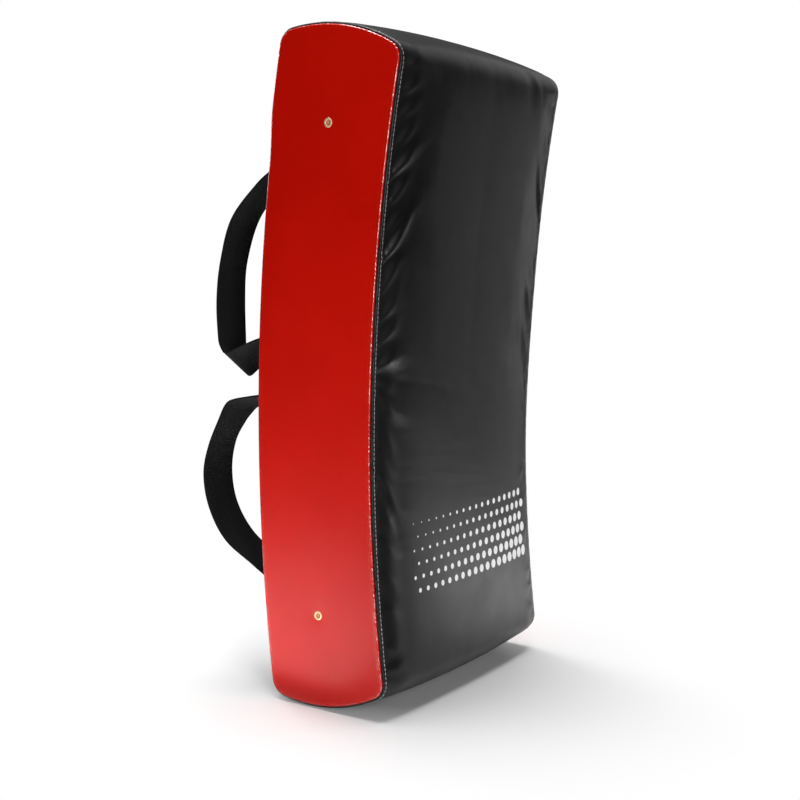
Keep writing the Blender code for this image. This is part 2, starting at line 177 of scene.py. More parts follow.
def cover_point(x, rows, lift=0.0):
    """Points of the filled cover over the stations, raised by lift. It stands proud except on the back."""
    angle = rows[..., 2]
    fullness = np.maximum(0.0, 1 - (2 * x / PAD_WIDTH) ** 2)
    crown = FACE_CROWN * np.maximum(0.0, -np.cos(angle)) ** 2 + END_PUFF * np.sin(angle) ** 2
    reach = CORNER_RADIUS + proud(angle) + crown * fullness + lift
    return bend(x, *reach_out(rows, reach))


def smooth_step(share):
    share = np.clip(share, 0, 1)
    return share * share * (3 - 2 * share)


def hump(off, width):
    """A smooth bump, 1 in its middle."""
    return np.exp(-(off / width) ** 2)


def uneven(points):
    """Small departures of the sewn cover from an even shape: its far front edge and top rear corner stand out."""
    x, y, z = points[..., 0], points[..., 1], points[..., 2]
    front = smooth_step(-y / 0.07) * smooth_step((z - 0.22) / 0.25)
    beside = smooth_step((z - 0.58) / 0.06) * smooth_step((np.abs(x) - 0.149) / 0.018)
    rear = smooth_step(y / 0.04) * np.maximum(smooth_step((z - 0.655) / 0.05), beside)
    moved = points.copy()
    moved[..., 1] += (4.0 * rear - (1.2 + 3.6 * np.clip(x / 0.17, 0, 1)) * front) * MM
    return moved


def cross_drop(distance):
    """How far a cover drops into the cross seam at its end."""
    share = np.clip(1 - distance / CROSS_ROLL, 0, 1)
    return CROSS_ROLL * (np.sqrt(np.maximum(0, 1 - share ** 2)) - 1)


def seam_groove(inward):
    """The line that the topstitching presses into the vinyl."""
    return -0.45 * MM * hump(inward - TOPSTITCH_IN, 1.1 * MM)


# ---------------------------------------------------------------- meshes


def set_all(target, **values):
    for key, value in values.items():
        setattr(target, key, value)


def add_object(name, data):
    made = bpy.data.objects.new(name, data)
    bpy.context.scene.collection.objects.link(made)
    return made


def grid_faces(rows, columns, closed_columns=False):
    """Quads of a grid of points stored row by row."""
    r, c = np.meshgrid(np.arange(rows - 1), np.arange(columns if closed_columns else columns - 1), indexing="ij")
    nxt = (c + 1) % columns
    quads = np.stack([r * columns + c, r * columns + nxt, (r + 1) * columns + nxt, (r + 1) * columns + c], axis=-1)
    return quads.reshape(-1, 4)


def new_mesh(name, points, faces, look=None, smooth=True):
    """An object of its own from points and faces in the row frame."""
    mesh = bpy.data.meshes.new(name)
    points = np.asarray(points, float).reshape(-1, 3)
    sizes = np.array([len(f) for f in faces])
    corners = np.fromiter((k for f in faces for k in f), np.int64, int(sizes.sum()))
    mesh.vertices.add(len(points))
    mesh.vertices.foreach_set("co", points.ravel())
    mesh.loops.add(len(corners))
    mesh.loops.foreach_set("vertex_index", corners)
    mesh.polygons.add(len(sizes))
    mesh.polygons.foreach_set("loop_start", np.cumsum(sizes) - sizes)
    mesh.update(calc_edges=True)
    mesh.validate()
    if smooth:
        mesh.shade_smooth()
    if look:
        mesh.materials.append(look)
    return add_object(name, mesh)


def fit(made, body, node):
    """Lets a piece ride on a CAD body and stand for a CAD node, each where it is given."""
    if body:
        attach(made, body)
    if node:
        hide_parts(node)
    return made


def cover(name, points, faces, look, rim, node):
    """A padded cover panel. Its rim attribute is 1 on the rolled edge, and its thickness goes inwards."""
    made = new_mesh(name, points, faces, look)
    attribute = made.data.attributes.new("rim", "FLOAT", "POINT")
    attribute.data.foreach_set("value", np.asarray(rim, np.float32).ravel())
    set_all(made.modifiers.new("thickness", "SOLIDIFY"), thickness=COVER_THICKNESS, offset=-1.0, use_even_offset=False)
    fit(made, "pad", node)


def unit(v):
    return v / np.maximum(np.linalg.norm(v, axis=-1, keepdims=True), 1e-12)


def surface_normals(points):
    """Unit normals of a grid of points, rows first."""
    return unit(np.cross(np.gradient(points, axis=0), np.gradient(points, axis=1)))


# ---------------------------------------------------------------- materials


def operation(name):
    return lambda self, other: self.look.math(name, self, other)


class Value:
    """A node's output, on which arithmetic builds further nodes."""

    def __init__(self, look, socket):
        self.look, self.socket = look, socket

    __add__ = operation("ADD")
    __sub__ = operation("SUBTRACT")
    __mul__ = operation("MULTIPLY")
    __truediv__ = operation("DIVIDE")
    __mod__ = operation("MODULO")
    __pow__ = operation("POWER")
    __gt__ = operation("GREATER_THAN")
    __lt__ = operation("LESS_THAN")

    def floor(self):
        return self.look.math("FLOOR", self)

    def fract(self):
        return self.look.math("FRACT", self)

    def ridges(self):
        """Rounded ridges, one to each whole number."""
        return self.look.math("ABSOLUTE", self.look.math("SINE", self * math.pi))

    def levels(self, low, high, to_low=0.0, to_high=1.0):
        """Value moved from low...high to to_low...to_high, and held there."""
        inputs = {"Value": self, "From Min": low, "From Max": high, "To Min": to_low, "To Max": to_high}
        return self.look.node("MapRange", inputs, "Result")


class Look:
    """A procedural material, built node by node around its Principled shader."""

    def __init__(self, name, **constants):
        self.material = bpy.data.materials.new(name)
        self.material.use_nodes = True
        self.tree = self.material.node_tree
        self.shader = self.tree.nodes["Principled BSDF"]
        for socket, value in constants.items():
            self.shader.inputs[socket.replace("_", " ")].default_value = value
        self.place = self.node("TexCoord", {}, "Object")

    def node(self, kind, inputs, output=0, **settings):
        """A new node's output."""
        made = self.tree.nodes.new("ShaderNode" + kind)
        set_all(made, **settings)
        for key, value in inputs.items():
            self.feed(made.inputs[key], value)
        return Value(self, made.outputs[output])

    def feed(self, socket, value):
        if isinstance(value, Value):
            self.tree.links.new(value.socket, socket)
        else:
            socket.default_value = value

    def math(self, operation, a, b=0.0, clamp=False):
        return self.node("Math", {0: a, 1: b}, operation=operation, use_clamp=clamp)

    def noise(self, scale, detail=3.0, roughness=0.5, place=None):
        inputs = {"Vector": place or self.place, "Scale": scale, "Detail": detail, "Roughness": roughness}
        return self.node("TexNoise", inputs, "Fac")

    def cells(self, scale, feature="F1"):
        return self.node("TexVoronoi", {"Vector": self.place, "Scale": scale}, "Distance", feature=feature)

    def mix(self, factor, a, b):
        paint = lambda colour: colour if isinstance(colour, Value) else (*colour, 1.0)
        return self.node("Mix", {0: factor, 6: paint(a), 7: paint(b)}, 2, data_type="RGBA")

    def axes(self, place=None):
        outputs = self.node("SeparateXYZ", {0: place or self.place}).socket.node.outputs
        return [Value(self, socket) for socket in outputs]

    def bump(self, height, distance, below=None):
        inputs = {"Height": height, "Distance": distance, "Strength": 1.0}
        if below:
            inputs["Normal"] = below
        return self.node("Bump", inputs, "Normal")

    def finish(self, **sockets):
        for socket, value in sockets.items():
            self.feed(self.shader.inputs[socket.replace("_", " ")], value)
        return self.material


def vinyl(name, deep, pale, worn, rough, specular, grain_depth, mottle, rim_gloss, rim_specular, rim_ior):
    """Grained PU vinyl: fine pebble grain, smudged gloss, and a rubbed, glossier edge along the seams."""
    look = Look(name)
    cloud = look.noise(9.0, 4.0, 0.6)
    smudge = look.noise(31.0, 5.0, 0.65)
    rim = look.node("Attribute", {}, "Fac", attribute_name="rim")
    rubbed = look.math("MULTIPLY", rim, look.noise(190.0, 4.0, 0.7).levels(0.42, 0.66), clamp=True)
    colour = look.mix(cloud.levels(0.35, 0.65), deep, pale)
    colour = look.mix(rubbed * 0.55, colour, worn)
    gloss = smudge.levels(0.3, 0.7, rough - 0.03 * mottle, rough + 0.035 * mottle)
    gloss = gloss + cloud.levels(0.3, 0.7, -0.02 * mottle, 0.02 * mottle) + rim * rim_gloss
    height = look.cells(950.0, "DISTANCE_TO_EDGE").levels(0.0, 0.28) + look.noise(2100.0, 2.0) * 0.35
    soft = look.bump(look.noise(40.0, 2.0, 0.5), 0.16 * MM * mottle)
    polished = rim * look.noise(300.0, 2.0).levels(0.42, 0.60)
    look.finish(Specular_IOR_Level=polished.levels(0.0, 1.0, specular, rim_specular),
                IOR=polished.levels(0.0, 1.0, 1.5, rim_ior))
    return look, colour, gloss, look.bump(height, grain_depth, soft)


def black_vinyl(name, printed):
    look, colour, gloss, normal = vinyl(name, (0.0036, 0.0036, 0.0041), (0.0066, 0.0066, 0.0072),
                                        (0.014, 0.014, 0.015), 0.38, 0.36, 0.030 * MM, 1.0, 0.08, 0.18, 1.5)
    if printed:
        mask = halftone(look) * look.noise(420.0, 5.0, 0.72).levels(0.285, 0.32)
        ink = look.mix(look.noise(60.0, 3.0), (0.84, 0.84, 0.84), (0.92, 0.92, 0.92))
        colour = look.mix(mask, colour, ink)
        gloss = gloss + mask * 0.08
    return look.finish(Base_Color=colour, Roughness=gloss, Normal=normal)


PRINT_LEFT, PRINT_RIGHT = -0.112, 0.150
PRINT_LOW, PRINT_ROWS = 0.122, 6
PRINT_CELL = 0.0145
PRINT_FRONT = -0.06


def halftone(look):
    """A plain printed band of dots that shrink towards the left and the upper edge."""
    x, y, z = look.axes()
    row = (z - PRINT_LOW) / PRINT_CELL
    column = (x - PRINT_LEFT) / PRINT_CELL + row.floor() % 2.0 * 0.5
    u = column.fract() - 0.5
    v = row.fract() - 0.5
    distance = look.math("SQRT", u * u + v * v)
    columns = (PRINT_RIGHT - PRINT_LEFT) / PRINT_CELL
    size = column.floor().levels(0.0, columns, 0.17, 0.46) - row.floor().levels(0.0, PRINT_ROWS, 0.0, 0.16)
    dot = (size - distance).levels(-0.012, 0.012)
    return dot * (column > 0.0) * (column < columns) * (row > 0.0) * (row < PRINT_ROWS) * (y < PRINT_FRONT)


def red_vinyl(name):
    look, colour, gloss, normal = vinyl(name, (0.46, 0.0034, 0.0003), (0.51, 0.0044, 0.0004),
                                        (0.60, 0.020, 0.008), 0.29, 0.24, 0.022 * MM, 0.14, -0.08, 0.7, 2.3)
    return look.finish(Base_Color=colour, Roughness=gloss, Normal=normal)


def thread_look(name, dark, light):
    """Twisted polyester thread."""
    look = Look(name, Roughness=0.62, Sheen_Weight=0.25)
    wave = {"Vector": look.place, "Scale": 520.0, "Distortion": 2.0}
    twist = look.node("TexWave", wave, "Fac", bands_direction="DIAGONAL")
    colour = look.mix(look.noise(700.0, 3.0).levels(0.35, 0.65), dark, light)
    return look.finish(Base_Color=colour, Normal=look.bump(twist, 0.08 * MM))


def webbing_look(name):
    """Heavy ribbed webbing: packed warp cords crossed by the weft, dull, with a little lint and painted shade in the
    grooves of its weave.
    """
    look = Look(name, Sheen_Weight=0.02, Sheen_Roughness=0.5, Specular_IOR_Level=0.14)
    across, down, _ = look.axes(look.node("UVMap", {}, "UV", uv_map="weave"))
    cord = across / (1.55 * MM)
    parity = (cord.floor() + 40.0) % 2.0
    lean = (cord.fract() - 0.5) * 0.55
    pick = down / (2.3 * MM) + parity * 0.5 + lean * (parity * 2.0 - 1.0)
    height = cord.ridges() ** 0.6 * pick.ridges().levels(0.0, 1.0, 0.35, 1.0)
    fibre = look.noise(1500.0, 3.0, 0.6)
    # painted shade: the weave's grooves are coloured darker than its ridges, and the fibre noise adds random tone
    groove_shade_and_tone = look.math("ADD", height * 0.6, fibre * 0.5, clamp=True)
    colour = look.mix(groove_shade_and_tone, (0.0006, 0.0006, 0.0007), (0.0042, 0.0042, 0.0046))
    lint = (look.cells(210.0) < 0.085) * look.noise(75.0, 2.0).levels(0.60, 0.66)
    colour = look.mix(lint * 0.20, colour, (0.16, 0.16, 0.17))
    normal = look.bump(fibre, 0.05 * MM, look.bump(height, 0.32 * MM))
    return look.finish(Base_Color=colour, Roughness=fibre.levels(0.3, 0.7, 0.72, 0.92), Normal=normal)


def metal_look(name, deep, pale, rough, tarnish, metallic=1.0):
    """Stamped metal with fine scratches and duller patches."""
    look = Look(name, Metallic=metallic)
    stretched = look.node("VectorMath", {0: look.place, 1: (1.0, 0.25, 2.0)}, operation="MULTIPLY")
    scratches = look.noise(900.0, 4.0, 0.7, stretched)
    patches = look.noise(330.0, 4.0, 0.6)
    colour = look.mix(patches.levels(0.35, 0.65), deep, pale)
    colour = look.mix(patches.levels(0.55, 0.75) * 0.6, colour, tarnish)
    gloss = scratches.levels(0.3, 0.7, rough - 0.06, rough + 0.12)
    return look.finish(Base_Color=colour, Roughness=gloss, Normal=look.bump(scratches, 0.02 * MM))


def foam_look(name, deep, pale, scale):
    """Open-celled foam, with painted shade: each pore is coloured darker towards its middle, where the bump sinks it.
    """
    look = Look(name, Roughness=0.95)
    pores = look.cells(scale)
    # painted shade: the colour follows the pores' depth, darker in each pit
    return look.finish(Base_Color=look.mix(pores.levels(0.1, 0.6), deep, pale), Normal=look.bump(pores, 0.5 * MM))


def nylon_look(name, deep, pale):
    """Woven or moulded nylon with a small regular weave, coloured darker in its grooves as painted shade."""
    look = Look(name, Specular_IOR_Level=0.4)
    x, _, z = look.axes()
    weave = (x / (0.7 * MM)).ridges() * (z / (0.9 * MM)).ridges()
    rough = look.noise(240.0, 3.0).levels(0.3, 0.7, 0.42, 0.60)
    # painted shade: the weave's grooves take the deep colour and its raised crossings the pale one
    return look.finish(Base_Color=look.mix(weave, deep, pale), Roughness=rough, Normal=look.bump(weave, 0.12 * MM))


STRIKE_LOOK = black_vinyl("strike_vinyl_printed", True)
BACK_LOOK = black_vinyl("back_vinyl", False)
RED_LOOK = red_vinyl("red_vinyl_grained")
PALE_THREAD = thread_look("pale_thread", (0.42, 0.41, 0.38), (0.62, 0.61, 0.57))
DARK_THREAD = thread_look("dark_thread", (0.012, 0.012, 0.013), (0.035, 0.035, 0.038))
WEBBING_LOOK = webbing_look("ribbed_webbing")
BRASS_LOOK = metal_look("eyelet_brass", (0.70, 0.46, 0.22), (0.86, 0.64, 0.36), 0.34, (0.58, 0.38, 0.20), 0.5)
STEEL_LOOK = metal_look("zip_gunmetal", (0.035, 0.036, 0.038), (0.075, 0.075, 0.08), 0.36, (0.02, 0.02, 0.02))
DARK_FOAM = foam_look("dark_foam_cells", (0.03, 0.03, 0.033), (0.08, 0.08, 0.085), 700.0)
LIGHT_FOAM = foam_look("light_foam_cells", (0.55, 0.52, 0.42), (0.78, 0.76, 0.68), 520.0)
VENT_LOOK = foam_look("vent_lining", (0.46, 0.28, 0.15), (0.72, 0.50, 0.30), 1500.0)
LINING_LOOK = nylon_look("lining_weave", (0.02, 0.02, 0.02), (0.07, 0.07, 0.07))
NYLON_LOOK = nylon_look("zip_tape_weave", (0.006, 0.006, 0.006), (0.018, 0.018, 0.019))
COIL_LOOK = nylon_look("zip_coil_nylon", (0.012, 0.012, 0.013), (0.022, 0.022, 0.024))


# ---------------------------------------------------------------- black wrap


def gathers(inward, path, seed, lean):
    """Scalloped lobes beside a gathered seam: below 0 at the ties, above it between them."""
    rng = np.random.default_rng(seed)
    ties = np.cumsum(rng.uniform(0.008, 0.019, 140)) - 0.05
    reach = rng.uniform(0.006, 0.017, 141)
    height = rng.uniform(0.45, 1.0, 141)
    shifted = path + lean * inward
    cell = np.clip(np.searchsorted(ties, shifted), 1, len(ties) - 1)
    share = (shifted - ties[cell - 1]) / (ties[cell] - ties[cell - 1])
    lobe = np.sin(math.pi * np.clip(share, 0, 1)) ** 0.8 - 0.5
    return height[cell] * lobe * np.exp(-(inward / reach[cell]) ** 1.6) * (0.35 + 0.65 * np.minimum(1, inward / 0.004))


# Where each long seam is drawn tight on the strike face: distance along the pad, how steeply the fold
# from it climbs over the face, and its strength
NEAR_TIES = ((0.322, 0.6, 0.10), (0.292, 0.9, 0.20), (0.266, 1.1, 0.12), (0.238, 1.0, 0.25), (0.205, 1.5, 1.30),
             (0.176, 1.2, 0.30), (0.148, 1.3, 0.20), (0.118, 1.7, 1.70), (0.086, 1.2, 0.25), (0.058, 0.9, 0.45),
             (0.034, 0.8, 0.25), (0.010, 0.35, 1.40), (-0.012, -1.0, 1.25), (-0.042, -1.1, 0.25),
             (-0.070, -1.2, 0.30), (-0.094, -1.5, 1.20), (-0.132, -1.0, 0.25), (-0.168, -1.0, 0.45),
             (-0.204, -1.0, 0.20), (-0.244, -0.7, 0.30), (-0.290, -0.5, 0.15))
FAR_TIES = ((0.312, 0.8, 0.20), (0.276, 1.0, 0.35), (0.240, 1.1, 0.25), (0.206, 1.2, 0.40), (0.152, 1.8, 1.70),
            (0.120, 1.2, 0.45), (0.082, 1.0, 0.30), (0.026, 1.4, 1.40), (-0.004, 1.0, 0.25), (-0.036, 1.7, 1.80),
            (-0.078, 1.0, 0.25), (-0.120, -0.9, 0.80), (-0.158, -0.8, 0.20), (-0.200, -1.0, 0.45),
            (-0.262, -0.7, 0.25))
END_TIE_GAP = 0.027
END_TIE = (0.0, 0.5)
# How far the padding fills the edge of the strike face: places along the pad and millimetres
FILL_PLACES = (-0.36, -0.20, 0.0, 0.15, 0.36)
FILL_HEIGHTS = (4.8, 5.0, 6.0, 7.0, 7.0)


def tie_places(ties, path):
    """Ties along the whole wrap, by distance along it: the listed ones on the face and even ones over the ends."""
    rows, known = wrap_stations(4 * MM)
    face = np.abs(rows[:, 2] - math.pi) < 1e-6
    listed = [(float(np.interp(-along, -rows[face, 1], known[face])), *rest) for along, *rest in ties]
    ends = np.concatenate([np.arange(0.012, listed[0][0] - 0.015, END_TIE_GAP),
                           np.arange(listed[-1][0] + END_TIE_GAP, path.max() - 0.008, END_TIE_GAP)])
    return np.array(sorted(listed + [(place, *END_TIE) for place in ends]))


def seam_folds(inward, path, along, ties, seed):
    """The filled shoulder beside a long seam, scalloped between its ties, with a fold running from each tie."""
    rng = np.random.default_rng(seed)
    places, leans, _ = ties.T
    shifted = path + np.interp(path, places, leans) * inward
    cell = np.clip(np.searchsorted(places, shifted), 1, len(places) - 1)
    share = np.clip((shifted - places[cell - 1]) / (places[cell] - places[cell - 1]), 0, 1)
    width = 9.5 * MM + rng.uniform(3.5, 9.5, len(places) + 1)[cell] * MM * np.sin(math.pi * share) ** 0.7
    fill = np.interp(along, FILL_PLACES, FILL_HEIGHTS) * MM
    lift = fill * (1 - np.exp(-(inward / width) ** 2.1)) * (1 - smooth_step(inward / (2 * ROLL_X)))
    for number, (place, lean, strength) in enumerate(ties):
        bent = 1 + 7.0 * inward * math.sin(2.4 * number)
        off = path - place + lean * inward * bent
        spread = 1.9 * MM + (0.13 + 0.09 * strength) * inward
        rise = inward / (inward + 6 * MM) * np.exp(-(inward / (0.014 + 0.034 * strength)) ** 1.5)
        ridge = hump(off, spread) - 0.85 * hump(off - 2.2 * spread, 1.2 * spread)
        ridge = ridge - 0.30 * hump(off + 2.4 * spread, 1.3 * spread)
        lift = lift + 1.75 * MM * strength * rise * ridge
    return lift


# Thin soft creases that run up the face: place across, lower and upper end, slope and height
CREASES = ((0.084, 0.010, 0.110, 0.10, 0.95 * MM), (0.094, -0.045, 0.020, -0.12, 0.80 * MM),
           (0.018, -0.02, 0.16, 0.06, 0.36 * MM), (-0.055, 0.255, 0.318, 0.05, 0.50 * MM),
           (-0.020, 0.262, 0.312, -0.08, 0.30 * MM), (0.058, 0.14, 0.25, 0.05, 0.42 * MM),
           (0.120, 0.17, 0.27, -0.05, 0.45 * MM), (0.045, -0.19, -0.07, -0.05, 0.26 * MM))
# Long swells up the face: wavelength, phase and height in millimetres
SWELLS = ((0.047, 0.4, 0.13), (0.071, 2.1, 0.28), (0.029, 4.0, 0.04))


def crease(x, along, middle, low, high, slope, height):
    off = x - middle - slope * (along - (low + high) / 2)
    share = np.clip((along - low) / (high - low), 0, 1)
    return height * np.sin(math.pi * share) * (hump(off, 1.9 * MM) - 0.5 * hump(off - 4.5 * MM, 3.2 * MM))


def wrinkles(x, rows, path):
    """How far the wrap's folds stand off its smooth shape."""
    along, angle, path = (values[:, None] + 0 * x for values in (rows[:, 1], rows[:, 2], path))
    front, back = np.clip(-np.cos(angle), 0, 1), np.clip(np.cos(angle), 0, 1)
    lift = np.zeros_like(path)
    for side, seed, ties in ((-1, 11, NEAR_TIES), (1, 23, FAR_TIES)):
        inward = np.maximum(0.0, ROLL_X - side * x)
        folds = seam_folds(inward, path, along, tie_places(ties, path), seed)
        lift += folds * (1 - 0.9 * back) * (1 - 0.6 * np.sin(angle) ** 2)
        lift += 0.55 * MM * gathers(inward, path, seed, 0.5)
    waves = np.zeros_like(path)
    for wave, phase, height in SWELLS:
        drift = 0.010 * np.sin(TAU * along / 0.41 + phase)
        waves += height * MM * np.sin(TAU * (x + drift) / wave + phase)
    waves *= 0.35 + 0.65 * np.clip((x + 0.10) / 0.16, 0, 1)
    waves += 0.30 * MM * np.sin(TAU * along / 0.19 + 3 * x / PAD_WIDTH) * np.sin(TAU * x / 0.23 + 0.7)
    for line in CREASES:
        waves += crease(x, along, *line)
    return lift + waves * np.clip((ROLL_X - np.abs(x)) / 0.03, 0, 1) ** 2 * front


def smooth_weights(fine, coarse):
    """Catmull-Rom weights that carry values from coarse places to fine ones."""
    weights = np.zeros((len(fine), len(coarse)))
    for i, place in enumerate(fine):
        j = int(np.clip(np.searchsorted(coarse, place) - 1, 0, len(coarse) - 2))
        t = float(np.clip((place - coarse[j]) / (coarse[j + 1] - coarse[j]), 0, 1))
        parts = ((-t + 2 * t * t - t ** 3) / 2, (2 - 5 * t * t + 3 * t ** 3) / 2,
                 (t + 4 * t * t - 3 * t ** 3) / 2, (t ** 3 - t * t) / 2)
        for k, part in zip(range(j - 1, j + 3), parts):
            weights[i, min(max(k, 0), len(coarse) - 1)] += part
    return weights


SIM_PITCH = 4.4 * MM
SIM_FRAMES = 22
MOST_SWELL = 10.0 * MM
CALM_SPREAD = 26 * MM
CALM_SHARE = 0.85
END_SHARE = 0.15
CLOTH = {"quality": 6, "mass": 0.001, "tension_stiffness": 18, "compression_stiffness": 18, "shear_stiffness": 9,
         "bending_stiffness": 0.35, "tension_damping": 6, "compression_damping": 6, "vertex_group_mass": "hold",
         "pin_stiffness": 0.8, "vertex_group_shrink": "loose", "shrink_min": 0.0, "shrink_max": -0.07,
         "use_pressure": True, "uniform_pressure_force": 20}


def simulate(start, inward, front):
    """Cloth-simulates a grid of points: edges held, more slack near them, pressed out by the padding."""
    made = new_mesh("wrap_simulation", start, grid_faces(*start.shape[:2])[:, ::-1])
    hold = np.where(inward < 1e-6, 1.0, 0.15 + 0.33 * (1 - smooth_step((inward - 0.018) / 0.034)))
    for name, weights in (("hold", hold), ("loose", np.exp(-inward / 0.022) * front)):
        group = made.vertex_groups.new(name=name)
        for index, weight in enumerate(weights.ravel().tolist()):
            group.add([index], weight, "REPLACE")
    cloth = made.modifiers.new("cloth", "CLOTH")
    set_all(cloth.settings, **CLOTH)
    cloth.settings.effector_weights.gravity = 0.0
    set_all(cloth.point_cache, frame_start=1, frame_end=SIM_FRAMES)
    scene = bpy.context.scene
    for number in range(1, SIM_FRAMES + 1):
        scene.frame_set(number)
    settled = made.evaluated_get(bpy.context.evaluated_depsgraph_get())
    points = np.zeros(start.size)
    settled.data.vertices.foreach_get("co", points)
    bpy.data.objects.remove(made)
    scene.frame_set(1)
    return points.reshape(start.shape)


def settle_wrap():
    """The settled coarse wrap: its places, and how far each point stands off the smooth shape."""
    rows, path = wrap_stations(SIM_PITCH)
    x = np.linspace(-ROLL_X, ROLL_X, round(2 * ROLL_X / SIM_PITCH) + 1)
    lift = wrinkles(x[None, :], rows, path)
    smooth = cover_point(x[None, :], rows[:, None, :])
    start = cover_point(x[None, :], rows[:, None, :], lift)
    inward = np.minimum((ROLL_X - np.abs(x))[None, :], np.minimum(path, path[-1] - path)[:, None])
    moved = simulate(start, inward, np.clip(-np.cos(rows[:, 2]), 0.35, 1)[:, None]) - smooth
    length = np.linalg.norm(moved, axis=-1, keepdims=True)
    moved *= np.minimum(1.0, MOST_SWELL / np.maximum(length, 1e-9))
    # The long ripples across the middle of the face are eased, and so is the swelling of the ends
    even = hump(path[:, None] - path[None, :], CALM_SPREAD)
    even /= even.sum(axis=1, keepdims=True)
    calm = CALM_SHARE * smooth_step((inward - 24 * MM) / (40 * MM))[..., None]
    moved += calm * (np.einsum("rs,scd->rcd", even, moved) - moved)
    moved *= 1 - (1 - END_SHARE) * np.sin(rows[:, 2])[:, None, None] ** 2
    return path, x, moved


WRAP_PITCH = 3.1 * MM
SEAM_PITCH = 0.9 * MM
SEAM_COLUMNS = 9


def wrap_columns():
    """Places across the wrap: an even middle, finer beside the seams."""
    fine = ROLL_X - np.arange(SEAM_COLUMNS) * SEAM_PITCH
    middle = np.linspace(-fine[-1], fine[-1], round(2 * fine[-1] / WRAP_PITCH) + 1)
    return np.concatenate([-fine[:-1], middle, fine[:-1][::-1]])


def build_wrap():
    """The black wrap: strike face, both ends and their turn on to the back. Gives its grid for the topstitching."""
    rows, path = wrap_stations(WRAP_PITCH)
    inner = wrap_columns()
    sim_path, sim_x, moved = settle_wrap()
    drift = np.einsum("rs,scd,kc->rkd", smooth_weights(path, sim_path), moved, smooth_weights(inner, sim_x))
    drop = cross_drop(np.minimum(path, path[-1] - path))[:, None]
    lift = seam_groove(ROLL_X - np.abs(inner))[None, :] + drop
    middle = cover_point(inner[None, :], rows[:, None, :], lift) + drift
    wave = 0.22 * MM * np.sin(TAU * path / 0.0137) + 0.16 * MM * np.sin(TAU * path / 0.0231 + 1)
    dip = ROLL * (np.cos(ROLL_TURNS) - 1)[None, :] + wave[:, None] * np.sin(ROLL_TURNS)[None, :] * 0.6 + drop
    roll = cover_point(np.full((1, ROLL_STEPS), ROLL_X), rows[:, None, :], dip)
    roll[..., 0] = ROLL_X + ROLL * np.sin(ROLL_TURNS)
    mirrored = roll[:, ::-1] * np.array([-1, 1, 1])
    points = np.concatenate([mirrored, middle, roll], axis=1)
    points[..., 2] = np.maximum(points[..., 2], 0.0)
    points = uneven(points)
    rolled = ROLL_X + ROLL * ROLL_TURNS
    columns = np.concatenate([-rolled[::-1], inner, rolled])
    rim = np.exp(-np.maximum(0, ROLL_X - np.abs(columns)) / RIM)[None, :] + 0 * path[:, None]
    faces = grid_faces(*points.shape[:2])[:, ::-1]
    cover("strike_wrap", points, faces, STRIKE_LOOK, rim, "strike_cover")
    return columns, points


# ---------------------------------------------------------------- stitching

RING_SIDES = 6
STITCH_RING = np.array([[math.cos(a), math.sin(a)] for a in np.arange(RING_SIDES) * TAU / RING_SIDES])
# Along one stitch, from hole to hole: place, thickness and height over the surface
STITCH_SHAPE = np.array([(0.0, 0.35, -0.9), (0.10, 0.85, 0.15), (0.32, 1.0, 1.0),
                         (0.68, 1.0, 1.0), (0.90, 0.85, 0.15), (1.0, 0.35, -0.9)])
STITCH_BOW = 0.22 * MM


def stitch_points(start, end, normal, radius):
    """One stitch: a thin arched thread from hole to hole."""
    shares, thick, raised = STITCH_SHAPE.T[:, :, None]
    centres = start + (end - start) * shares + normal * raised * STITCH_BOW
    across = unit(np.cross(normal, end - start))
    ring = STITCH_RING[:, 0, None] * across + STITCH_RING[:, 1, None] * normal
    return (centres[:, None, :] + ring[None, :, :] * (thick * radius)[:, None]).reshape(-1, 3)


def stitch_line(places, normals, seed, pitch=STITCH_PITCH, share=0.70, radius=0.36 * MM, sink=None):
    """Stitches along a line of surface points. Gives points and faces for a mesh."""
    rng = np.random.default_rng(seed)
    run = running_sum(np.linalg.norm(np.diff(places, axis=0), axis=1))
    at = lambda values, place: np.array([np.interp(place, run, values[:, k]) for k in range(3)])
    rings = len(STITCH_SHAPE)
    quads = grid_faces(rings, RING_SIDES, True)
    points, faces = [], []
    for number in range(int(run[-1] / pitch)):
        first = (number + 0.15 + rng.uniform(-0.04, 0.04)) * pitch
        ends = np.array([first, first + share * pitch])
        a, b = (at(places, d) for d in ends)
        normal = unit(at(normals, ends.mean()))
        drop = sink(ends.mean() / run[-1]) if sink else 0.0
        side = unit(np.cross(normal, b - a)) * rng.uniform(-0.12, 0.12) * MM
        lift = normal * (rng.uniform(-0.05, 0.10) * MM - drop)
        base = number * rings * RING_SIDES
        points.append(stitch_points(a + lift + side, b + lift - side, normal, radius * rng.uniform(0.9, 1.1)))
        faces += (quads + base).tolist() + tube_ends(base, rings, RING_SIDES)
    return np.concatenate(points), faces


def tube_ends(base, rings, sides):
    """The two end faces of a closed tube of points."""
    last = base + (rings - 1) * sides
    return [list(range(base, base + sides))[::-1], list(range(last, last + sides))]


def stitch_object(name, lines, look, seed):
    """All the stitches of several lines in one piece."""
    points, faces, total = [], [], 0
    for number, (places, normals, options) in enumerate(lines):
        more, quads = stitch_line(places, normals, seed + number, **options)
        points.append(more)
        faces += [[k + total for k in face] for face in quads]
        total += len(more)
    return new_mesh(name, np.concatenate(points), faces, look)


def wrap_topstitch(columns, points):
    """The pale topstitching on the black side of both long seams. It lies deeper towards the foot."""
    normals = -surface_normals(points)
    sink = lambda share: 0.10 * MM + 0.34 * MM * min(1.0, max(0.0, (share - 0.50) / 0.22))
    nearest = [int(np.argmin(np.abs(columns - side * (ROLL_X - TOPSTITCH_IN)))) for side in (-1, 1)]
    lines = [(points[3:-3, column], normals[3:-3, column], {"sink": sink}) for column in nearest]
    fit(stitch_object("seam_topstitch", lines, PALE_THREAD, 301), "pad", None)


# ---------------------------------------------------------------- red sides

